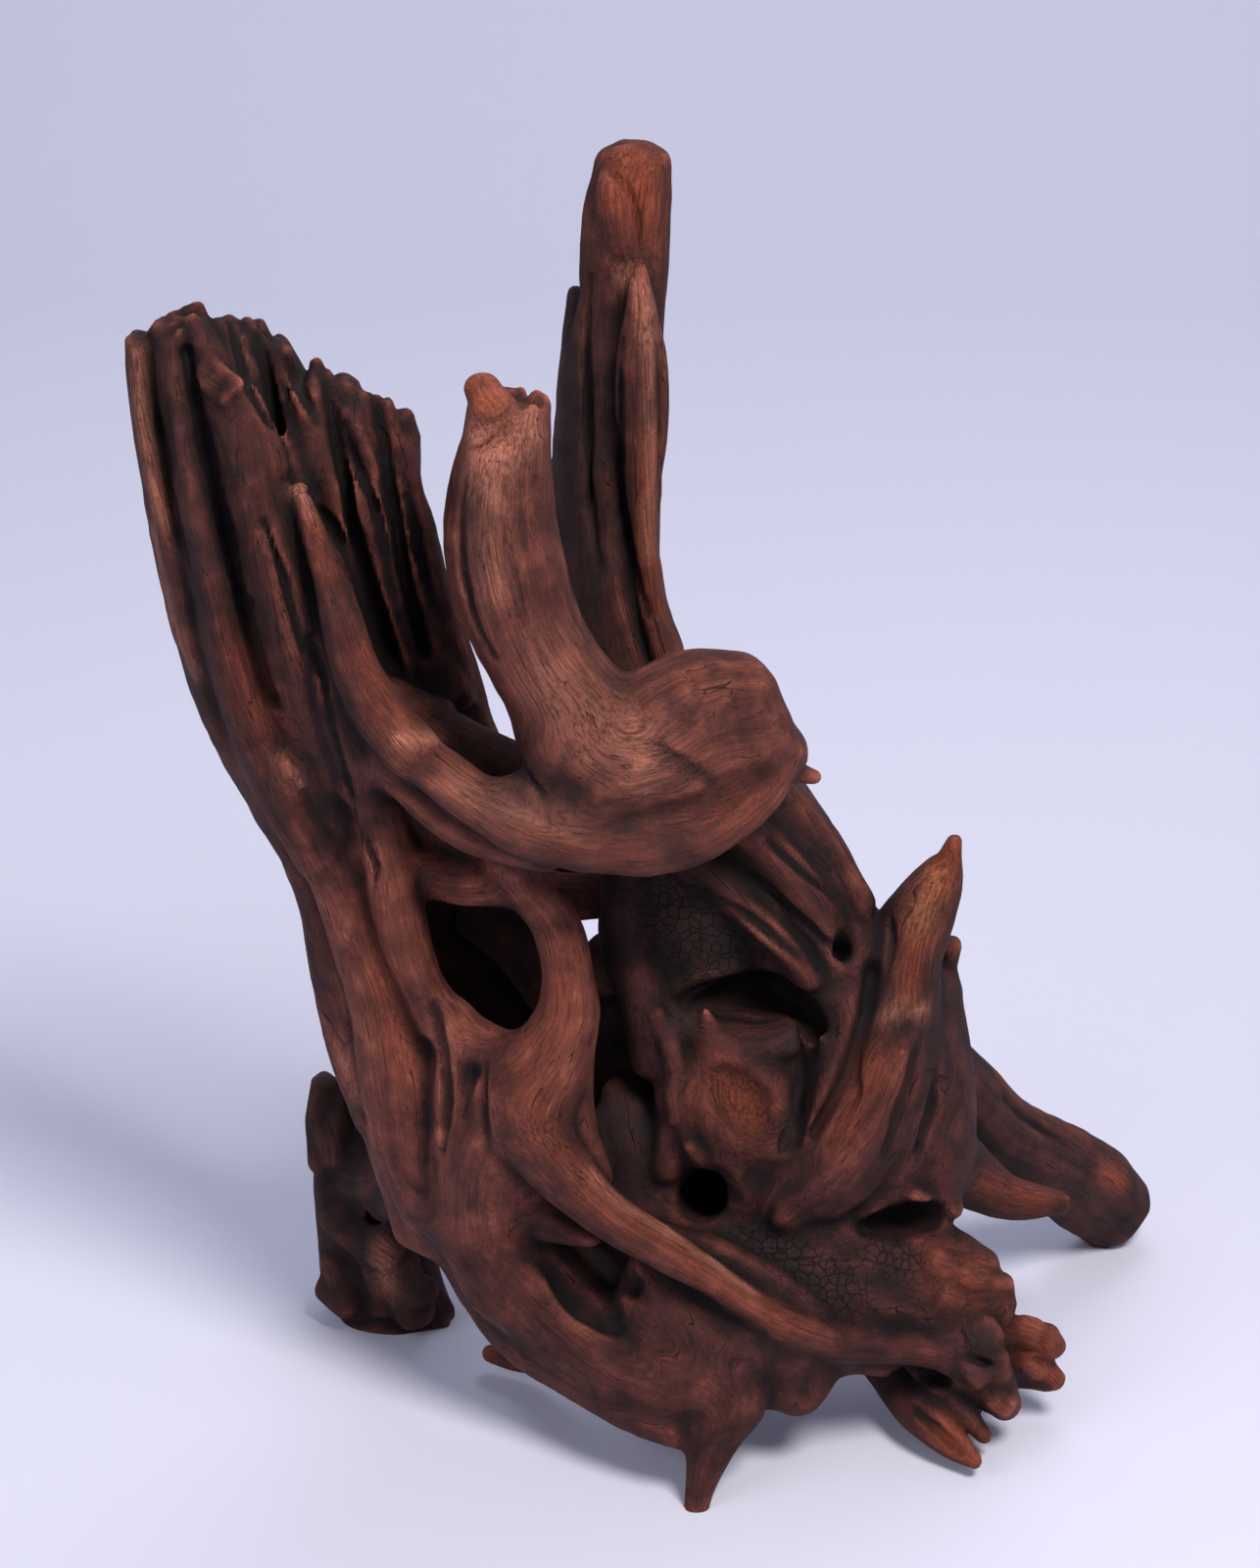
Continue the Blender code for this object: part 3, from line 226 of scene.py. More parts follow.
# The bits that number the ways in which a tetrahedron's corners can lie inside the wood.
CORNER_BITS = (1, 2, 4, 8)
# The numbers that scramble a grid point into a random value.
HASH = np.array([73856093, 19349663, 83492791])
HASH_STIR = 1274126177
HASH_SHIFTS = (13, 16)
HASH_RANGE = 0xffff


def seen(right, up, back):
    """The place on the sight line through (right, up) at the depth back, and its scale in the view."""
    on_plane = VIEW_CENTRE + (right - CENTRE_RIGHT) * RIGHT_WAY + (up - CENTRE_UP) * UP_WAY
    sight = on_plane - EYE
    share = (back - EYE[1]) / sight[1]
    return EYE + share * sight, share


def noise(points):
    """Smooth noise between -1 and 1, with lumps one unit apart."""
    cell = np.floor(points).astype(np.int64)
    share = points - cell
    share = share * share * (3 - 2 * share)
    total = np.zeros(len(points))
    for corner in CORNERS:
        n = ((cell + corner) * HASH).sum(axis=1)
        n = (n ^ (n >> HASH_SHIFTS[0])) * HASH_STIR
        n = (n ^ (n >> HASH_SHIFTS[1])) & HASH_RANGE
        total += (2 * n / HASH_RANGE - 1) * np.prod(np.where(corner, share, 1 - share), axis=1)
    return total


class Limb:
    """A run of wood through stations of (right, up, back, half width, half depth).

    blend is the width of its fillet, fray how deep its ends are torn, and cap how far they bulge, as a share
    of their half width. tone is its colour from 0, dark purple brown, to 1, orange brown, and rough is how
    deep its grain is.
    """

    def __init__(self, *stations, blend=6.0, fray=0.0, cap=1.0):
        places = [seen(*s[:3]) for s in stations]
        keys = np.array([[*p, s[3] * k, s[4] * k] for (p, k), s in zip(places, stations)])
        self.blend = blend
        self.fray = fray
        self.cap = cap
        self.tone = 0.0
        self.rough = 1.0
        self.first_up = stations[0][1]
        self.draw(keys)

    def draw(self, keys):
        """Draws a smooth curve through the keys, and finds the section's directions along it."""
        chords = np.linalg.norm(np.diff(keys[:, :3], axis=0), axis=1)
        along = np.concatenate([[0.0], np.cumsum(chords)])
        count = max(LEAST_SAMPLES, int(along[-1] / SAMPLE_STEP) + 1)
        slopes = np.gradient(keys, along, axis=0)
        at = np.linspace(0.0, along[-1], count)
        i = np.clip(np.searchsorted(along, at, side="right") - 1, 0, len(keys) - 2)
        span = (along[i + 1] - along[i])[:, None]
        t = (at - along[i])[:, None] / span
        curve = ((2 * t**3 - 3 * t**2 + 1) * keys[i] + (t**3 - 2 * t**2 + t) * span * slopes[i]
                 + (3 * t**2 - 2 * t**3) * keys[i + 1] + (t**3 - t**2) * span * slopes[i + 1])
        self.step = along[-1] / (count - 1)
        self.centre = curve[:, :3]
        self.half = np.maximum(curve[:, 3:], THINNEST)
        run = np.gradient(self.centre, axis=0)
        self.run = run / np.linalg.norm(run, axis=1)[:, None]
        wide = np.cross(self.run, EYE_WAY)
        self.wide = wide / np.linalg.norm(wide, axis=1)[:, None]
        self.deep = np.cross(self.wide, self.run)

    def locate(self, axes):
        """Finds which sample each grid point near the limb is nearest to, and -1 for the other points."""
        reach = self.half.max(axis=1)[:, None] + REACH
        low = (self.centre - reach).min(axis=0)
        high = (self.centre + reach).max(axis=0)
        self.corner = np.array([np.searchsorted(a, lo) for a, lo in zip(axes, low)])
        near = [a[np.searchsorted(a, lo):np.searchsorted(a, hi)] for a, lo, hi in zip(axes, low, high)]
        best = np.full([len(a) for a in near], np.inf, np.float32)
        self.which = np.full(best.shape, -1, np.int16)
        for first in range(0, len(self.centre), SAMPLES_AT_ONCE):
            rows = slice(first, first + SAMPLES_AT_ONCE)
            low = (self.centre[rows] - reach[rows]).min(axis=0)
            high = (self.centre[rows] + reach[rows]).max(axis=0)
            cut = tuple(slice(*np.searchsorted(a, (lo, hi))) for a, lo, hi in zip(near, low, high))
            closest = best[cut]
            index = self.which[cut]
            for n in range(first, min(first + SAMPLES_AT_ONCE, len(self.centre))):
                x, y, z = ((a[c] - m).astype(np.float32)**2 for a, c, m in zip(near, cut, self.centre[n]))
                gap = x[:, None, None] + y[None, :, None] + z[None, None, :]
                closer = gap < closest
                closest[closer] = gap[closer]
                index[closer] = n

    def sample_at(self, cells):
        """The rows of the grid cells near the limb, and the sample that each of them is nearest to."""
        local = cells - self.corner
        rows = np.nonzero(((local >= 0) & (local < self.which.shape)).all(axis=1))[0]
        sample = self.which[tuple(local[rows].T)]
        return rows[sample >= 0], sample[sample >= 0]

    def between(self, at, *values):
        """The values of the samples, blended at places between them."""
        low = np.minimum(at.astype(np.int64), len(self.centre) - 2)
        share = (at - low)[:, None]
        return [value[low] * (1 - share) + value[low + 1] * share for value in values]

    def depth(self, points, sample):
        """How far each point lies outside the limb, below zero inside it, and its grain coordinates."""
        last = len(self.centre) - 1
        at = sample.astype(float)
        for _ in range(NEARING_STEPS):
            inside = np.clip(at, 0, last)
            centre, run = self.between(inside, self.centre, self.run)
            at = inside + ((points - centre) * run).sum(axis=1) / self.step
        inside = np.clip(at, 0, last)
        centre, half, wide, deep = self.between(inside, self.centre, self.half, self.wide, self.deep)
        away = points - centre
        x = (away * wide).sum(axis=1)
        y = (away * deep).sum(axis=1)
        along = at * self.step
        if self.fray:
            reach = FRAY_REACH * self.fray / self.step
            ends = np.nonzero((at < reach) | (at > last - reach))[0]
            fibre = np.stack([x[ends] / GRAIN_WIDTH, y[ends] / GRAIN_WIDTH,
                              np.full(len(ends), self.centre[0, 0])], axis=1)
            at[ends] += noise(fibre) * self.fray / self.step
        tip = half.min(axis=1) * self.cap
        z = (at - np.clip(at, 0, last)) * self.step
        r = np.sqrt((x / half[:, 0])**2 + (y / half[:, 1])**2 + (z / tip)**2) + TINY
        slope = np.sqrt((x / half[:, 0]**2)**2 + (y / half[:, 1]**2)**2 + (z / tip**2)**2) / r + TINY
        return (r - 1.0) / slope, np.stack([x, y, along - self.first_up], axis=1)


SLAB = [
    # The left edge, which runs on down the side of the trunk to the lower left edge.
    Limb((-167, 398, 88, 5, 11), (-166.5, 380, 88, 5, 13), (-161, 350, 88, 6, 15),
         (-153.5, 320, 88, 7, 16), (-146, 292, 90, 8, 16), (-136.5, 267, 92, 9, 16),
         (-123, 247, 94, 10, 16), (-110.5, 226, 97, 10, 14), (-105, 207, 99, 9, 13),
         (-102, 188, 99, 9, 12), (-99, 170, 98, 8, 11), (-95, 155, 94, 8, 11), (-88, 137, 90, 8, 11),
         blend=4, fray=3, cap=0.35),
    Limb((-157, 402, 85, 6.5, 11), (-154, 380, 84, 7, 13), (-149, 350, 82, 8, 16), (-143, 320, 80, 9, 18),
         (-136, 290, 78, 9.5, 18), (-127, 265, 78, 10, 18), (-117, 245, 78, 9, 17),
         (-108, 228, 80, 9, 15), blend=3, fray=3, cap=0.35),
    # The broad ridge right of the long crack, with the plate that lies on it.
    Limb((-151, 405, 90, 6, 10), (-144, 390, 87, 8, 12), (-137, 370, 83, 10, 15), (-131, 345, 79, 10, 17),
         (-125, 320, 77, 10, 18), (-118, 290, 77, 10.5, 18), (-111, 262, 79, 10.5, 16),
         (-103, 240, 80, 9, 16), blend=3, fray=4, cap=0.35),
    Limb((-135, 381, 76, 7, 7), (-130, 360, 71, 10, 9), (-125, 335, 69, 9.5, 12),
         (-118, 305, 69, 9.5, 14), (-110, 275, 72, 10, 14), (-99, 250, 74, 9, 14), blend=3, fray=3,
         cap=0.4),
    Limb((-140, 402, 97, 6.5, 9), (-135, 389, 94, 8, 12), (-127, 370, 91, 9.5, 14),
         (-117, 345, 90, 11, 15), (-109, 310, 90, 12, 15), (-101, 275, 88, 12, 15), blend=3, fray=4,
         cap=0.35),
    # The splintered ridges of the top edge's right half.
    Limb((-130, 402, 104, 5, 8), (-125, 387, 101, 7, 11), (-119, 365, 98, 8.5, 13),
         (-110, 335, 98, 10, 14), (-101, 300, 99, 11, 15), (-92, 270, 94, 11, 14), blend=3, fray=4,
         cap=0.35),
    Limb((-122, 394, 110, 6, 8), (-117, 382, 107, 7.5, 11), (-110, 360, 104, 9, 13),
         (-101, 330, 104, 10, 13), (-92, 300, 106, 10, 13), (-84, 272, 102, 10, 13), blend=3, fray=4,
         cap=0.35),
    Limb((-112, 377, 94, 7, 7), (-107, 358, 92, 9, 10), (-101, 340, 93, 9.5, 12), (-95, 318, 99, 9, 12),
         (-88, 295, 105, 9, 12), (-78, 275, 102, 9, 12), blend=3, fray=4, cap=0.4),
    Limb((-108, 384, 102, 6, 8), (-103, 369, 99, 7, 10), (-96, 345, 98, 7.5, 12), (-90, 320, 101, 8, 12),
         (-83, 295, 105, 8.5, 12), (-74, 275, 102, 8, 12), blend=3, fray=3, cap=0.35),
    Limb((-98, 383, 106, 5, 8), (-93, 367, 103, 6.5, 10), (-88, 345, 101, 7, 12),
         (-82, 320, 102, 7.5, 12), (-75, 295, 105, 8, 12), (-66, 275, 100, 8, 12), blend=3, fray=3,
         cap=0.35),
    Limb((-89, 376, 110, 5, 8), (-86, 363, 108, 6, 10), (-82, 345, 107, 6.5, 12), (-77, 320, 106, 7, 12),
         (-70, 295, 107, 7.5, 12), (-62, 277, 101, 7, 12), blend=3, fray=3, cap=0.35),
    Limb((-80, 371, 115, 5, 8), (-78, 360, 115, 5, 10), (-76, 340, 113, 5, 12),
         (-73.5, 320, 111, 5.5, 12), (-70, 300, 108, 6.5, 12), (-64, 284, 104, 7, 12),
         (-58, 272, 100, 6, 10), blend=2, fray=3, cap=0.4),
    Limb((-161, 333, 90, 2.5, 6), (-156, 318, 88, 4.5, 8), (-149.5, 300, 86, 5, 10),
         (-143.5, 282, 86, 5, 10), blend=2.5),
    # The sheet at the back that the ridges stand on.
    Limb((-152, 386, 95, 12, 9), (-140, 345, 91, 19, 11), (-128, 300, 89, 23, 11),
         (-118, 262, 90, 20, 12), (-108, 236, 96, 14, 12), blend=4, fray=4, cap=0.4),
    Limb((-115, 330, 78, 5, 8), (-111, 308, 72, 7, 9), (-104, 288, 66, 8, 10), (-96, 268, 62, 9, 12),
         (-90, 250, 64, 9, 12), (-86, 232, 70, 7, 10), blend=4),
    Limb((-98, 362, 118, 20, 6), (-94, 335, 118, 24, 7), (-84, 300, 116, 24, 8), (-76, 270, 108, 20, 10),
         (-72, 248, 96, 18, 10), blend=4, fray=4, cap=0.4),
    # The spike in front of the slab.
    Limb((-113, 346, 66, 3, 5), (-109, 333, 64, 4, 6), (-104, 318, 60, 5, 8), (-99, 302, 56, 6.5, 10),
         (-94, 285, 52, 8, 11), (-86, 270, 48, 9, 12), (-76, 258, 44, 9, 12), blend=3),
]


def splinters():
    """The thin splinters between the ridges of the torn edge."""
    chance = random.Random(SPLINTER_SEED)
    rows = []
    for n in range(SPLINTERS):
        share = (n + chance.uniform(*SPLINTER_SPREAD)) / SPLINTERS
        right, up, back = (start + run * share for start, run in zip(SPLINTER_EDGE, SPLINTER_EDGE_RUN))
        up += chance.uniform(*SPLINTER_RISE)
        back += chance.uniform(*SPLINTER_SHIFT)
        half = chance.uniform(*SPLINTER_HALF)
        course = [(right + r, up + u, back + b, half * w, deep) for r, u, b, w, deep in SPLINTER_COURSE]
        rows.append(Limb(*course, blend=1.5, fray=3, cap=0.5))
    return rows


HOOK = [
    # The arm that drops and turns into the cup, and the small end of the cup.
    Limb((-42, 375, 62, 14, 12), (-43.5, 350, 60, 16.5, 17), (-44, 330, 56, 19.5, 19),
         (-39, 307, 52, 19.5, 19), (-29.5, 287, 48, 19, 20), (-17, 270, 45, 19, 21),
         (-7, 256, 43, 18, 20), blend=9, fray=5, cap=0.25),
    Limb((-22, 261, 43, 16, 18), (-8, 256, 42, 22, 22), (9, 256, 43, 27, 25), (23, 263, 47, 27, 25),
         (30, 265, 51, 23.5, 24), blend=12),
    Limb((8, 273, 46, 12, 18), (24, 278, 50, 14, 20), (34, 278.5, 53, 13, 19), blend=8),
    Limb((34, 259, 50, 16, 18), (44, 258, 54, 13, 14), (50, 258, 58, 8, 10), blend=10),
    Limb((-50, 383, 67, 4, 6), (-50, 368, 66, 7, 9), (-52, 350, 62, 9, 10), blend=3, fray=2),
    Limb((-56.5, 362, 74, 3, 7), (-59.5, 345, 74, 4, 9), (-60, 326, 72, 4, 9), (-56.5, 306, 68, 4, 9),
         blend=2),
    Limb((54, 251, 58, 4, 5), (62, 249, 61, 2.5, 3), blend=3),
    # The lower lip, from the slab to the far end of the cup.
    Limb((-76, 258, 44, 7, 10), (-64, 249, 37, 9, 11), (-50, 239, 32, 9, 12), (-32, 229, 27, 9, 12),
         (-12, 224, 23, 8, 12), (8, 223, 22, 8, 12), (28, 231, 27, 8, 12), (44, 243, 38, 7, 12),
         (53, 255, 49, 5, 11), blend=6),
    Limb((-38, 243, 38, 7, 12), (-20, 236, 32, 9, 14), (0, 233, 29, 9, 14), (18, 236, 31, 9, 14),
         (33, 244, 38, 8, 12), blend=8),
    Limb((-84, 256, 56, 7, 10), (-68, 240, 50, 8, 10), (-50, 229, 44, 8, 10), (-30, 223, 40, 7, 10),
         blend=5),
    # The dark web behind the lip.
    Limb((-86, 276, 84, 8, 10), (-66, 262, 80, 11, 10), (-46, 251, 74, 12, 10), (-26, 242, 66, 12, 10),
         blend=8),
]

POST = [
    # The post, with its front ridge and its side strip.
    Limb((0, 459, 142, 13, 10), (-2, 440, 141, 15, 12), (-3, 420, 140, 15, 13), (-5, 400, 140, 16, 14),
         (-7, 375, 140, 17.5, 15), (-8, 350, 138, 17.5, 15), (-7, 322, 134, 16.5, 16),
         (-2, 296, 128, 15, 18), (9, 272, 120, 18, 20), (23, 250, 112, 20, 22), blend=8, fray=1.5,
         cap=0.7),
    Limb((-7, 453, 134, 5, 7), (-6, 442, 132, 6, 8), (-4, 430, 132, 5, 7), blend=2.5),
    Limb((3, 422, 125, 2, 4), (3, 410, 124, 5, 6), (3, 395, 123, 8, 8), (3, 372, 122, 8.5, 8),
         (3.5, 350, 122, 6.5, 8), (4, 330, 121, 5, 8), (6, 310, 118, 5, 8), (11, 292, 112, 6, 8),
         blend=2),
    Limb((-19.5, 414, 146, 3, 6), (-20.5, 395, 146, 4, 8), (-21.5, 372, 146, 5, 9),
         (-22, 345, 144, 6, 10), (-18, 315, 138, 8, 12), (-10, 290, 130, 9, 12), blend=2, fray=3,
         cap=0.5),
]

TRUNK = [
    # The two ridges left of the eye, and the one right of it.
    Limb((-126, 262, 84, 9, 14), (-117, 245, 80, 9, 14), (-108, 228, 77, 9, 15), (-99, 212, 75, 10, 15),
         (-91, 195, 73, 12, 15), (-84, 178, 72, 14, 15), (-80, 160, 71, 15, 16), (-77, 142, 72, 15, 16),
         (-74, 126, 74, 14, 16), (-69, 110, 74, 12, 15), blend=5),
    Limb((-86, 268, 80, 6, 12), (-86, 248, 72, 7, 12), (-84, 230, 67, 8, 12), (-81, 213, 64, 9, 12),
         (-78, 198, 63, 9, 12), (-73, 182, 63, 7, 12), (-68, 168, 62, 7, 10), blend=3),
    Limb((-44, 230, 62, 10, 12), (-37, 213, 57, 7.5, 11), (-26, 198, 52, 8.5, 11), (-22, 182, 49, 9, 13),
         (-22, 168, 47, 11, 14), (-28, 154, 45, 14, 15), (-36, 140, 44, 16, 16), (-42, 124, 47, 18, 16),
         (-46, 108, 52, 18, 15), (-45, 92, 56, 17, 12), (-40, 76, 54, 15, 9), blend=6),
    Limb((-19, 158, 58, 6, 12), (-21, 142, 56, 8, 12), (-19, 126, 50, 8, 12), (-13, 113, 42, 6, 10),
         blend=5),
    # The lintel over the eye and the rim below it.
    Limb((-86, 226, 70, 8, 10), (-72, 217, 69, 8, 10), (-58, 213, 66, 8, 10), (-44, 213, 61, 8, 10),
         blend=4),
    Limb((-76, 188, 64, 5, 10), (-67, 174, 60, 6, 10), (-56, 161, 56, 8, 10), (-44, 155, 51, 8, 10),
         (-34, 156, 48, 6, 10), blend=4),
    Limb((-62, 166, 58, 5, 10), (-59, 150, 57, 8, 11), (-59, 134, 58, 9, 11), (-58, 118, 61, 10, 11),
         (-56, 102, 64, 11, 11), blend=6),
    Limb((-70, 160, 90, 20, 12), (-66, 130, 84, 24, 14), (-60, 100, 78, 22, 14), blend=8),
    Limb((-96, 240, 88, 13, 10), (-70, 232, 84, 14, 10), (-44, 232, 74, 14, 10), blend=8),
    Limb((-114, 270, 86, 13, 14), (-105, 250, 84, 12, 14), (-97, 230, 80, 12, 13), (-90, 212, 78, 11, 12),
         blend=6),
    # The sunk flank between the left ridge and the outer edge.
    Limb((-114, 242, 96, 13, 10), (-101, 215, 94, 11, 10), (-95, 190, 92, 11, 10), (-90, 165, 90, 12, 11),
         (-84, 145, 88, 12, 11), blend=6),
    # The dark walls deep inside the eye and behind the cleft.
    Limb((-86, 215, 116, 20, 10), (-64, 196, 122, 20, 10), (-48, 178, 120, 20, 10),
         (-36, 156, 112, 18, 12), blend=8),
    Limb((-42, 212, 106, 10, 8), (-26, 208, 106, 9, 8), (-8, 209, 107, 8, 8), blend=6),
    Limb((-50, 204, 110, 12, 8), (-38, 190, 106, 9, 8), (-28, 174, 104, 8, 8), blend=6),
    Limb((-14, 183, 104, 8, 9), (-6, 182, 98, 8, 9), blend=4),
    Limb((-20, 178, 110, 9, 10), (-14, 158, 104, 14, 12), (-14, 134, 96, 16, 12), (-14, 112, 86, 16, 14),
         blend=6),
]

BODY = [
    # The rolled lower left edge, the broad sheet and its right end.
    Limb((-88, 137, 90, 6, 10), (-80, 122, 86, 8, 11), (-70, 106, 80, 9, 12), (-59, 88, 74, 8, 12),
         (-49, 71, 64, 8, 12), (-36, 55, 50, 7, 11), (-15, 42, 34, 7, 10), (5, 31, 18, 7, 9),
         (15, 27, 12, 6, 8), blend=5),
    Limb((-62, 112, 70, 16, 14), (-48, 95, 60, 18, 14), (-34, 78, 50, 19, 14), (-18, 62, 38, 17, 13),
         (0, 50, 27, 16, 12), (15, 42, 19, 14, 12), blend=8),
    Limb((12, 78, 36, 18, 14), (22, 60, 28, 20, 14), (28, 46, 20, 19, 12), (32, 38, 16, 14, 10), blend=8),
    Limb((42, 62, 30, 16, 12), (50, 50, 30, 17, 10), (58, 42, 30, 11, 9), blend=8),
    Limb((60, 60, 36, 14, 10), (74, 58, 40, 12, 9), (86, 54, 46, 9, 8), blend=8),
    # The long root that runs from the trunk to the lower right.
    Limb((-40, 140, 42, 14, 14), (-32, 126, 36, 12, 12), (-20, 111, 30, 10, 10), (-5, 98, 25, 8, 9),
         (10, 89, 21, 7, 9), (25, 80, 19, 6, 9), (40, 70, 20, 6, 9), (55, 62, 23, 7, 9),
         (70, 57, 28, 6.5, 8), (85, 56, 34, 6, 8), (100, 55, 40, 6, 8), (112, 50, 44, 8, 9), blend=4),
    Limb((6, 76, 34, 7, 8), (22, 68, 28, 9, 9), (38, 60, 25, 9, 9), (54, 54, 28, 8, 8), blend=8),
    Limb((12, 92, 34, 5, 6), (30, 87, 32, 5, 6), (46, 78, 30, 5, 6), (60, 67, 30, 5, 6), blend=3),
    Limb((-4, 112, 66, 18, 16), (18, 96, 56, 20, 16), (40, 84, 48, 20, 14), (60, 76, 44, 16, 12),
         (78, 68, 46, 12, 10), blend=8),
    Limb((-38, 106, 50, 10, 11), (-26, 98, 44, 7, 9), (-14, 91, 38, 4, 7), blend=6),
    # The wall at the back of the hollow under the long root.
    Limb((-42, 106, 76, 16, 10), (-16, 88, 66, 18, 10), (12, 74, 54, 18, 10), blend=8),
    # The front foot.
    Limb((32, 36, 18, 13, 9), (28, 27, 12, 10, 8), (25, 16, 7, 6.5, 6), (23, 6, 4, 4.5, 4.5),
         (22, -1, 2, 4, 4), blend=6, cap=0.5),
    # The short root that shows under the left edge.
    Limb((-48, 53, 88, 3, 4), (-38, 51, 82, 4, 5), (-22, 56, 70, 7, 7), (-8, 66, 56, 9, 8), blend=5),
]

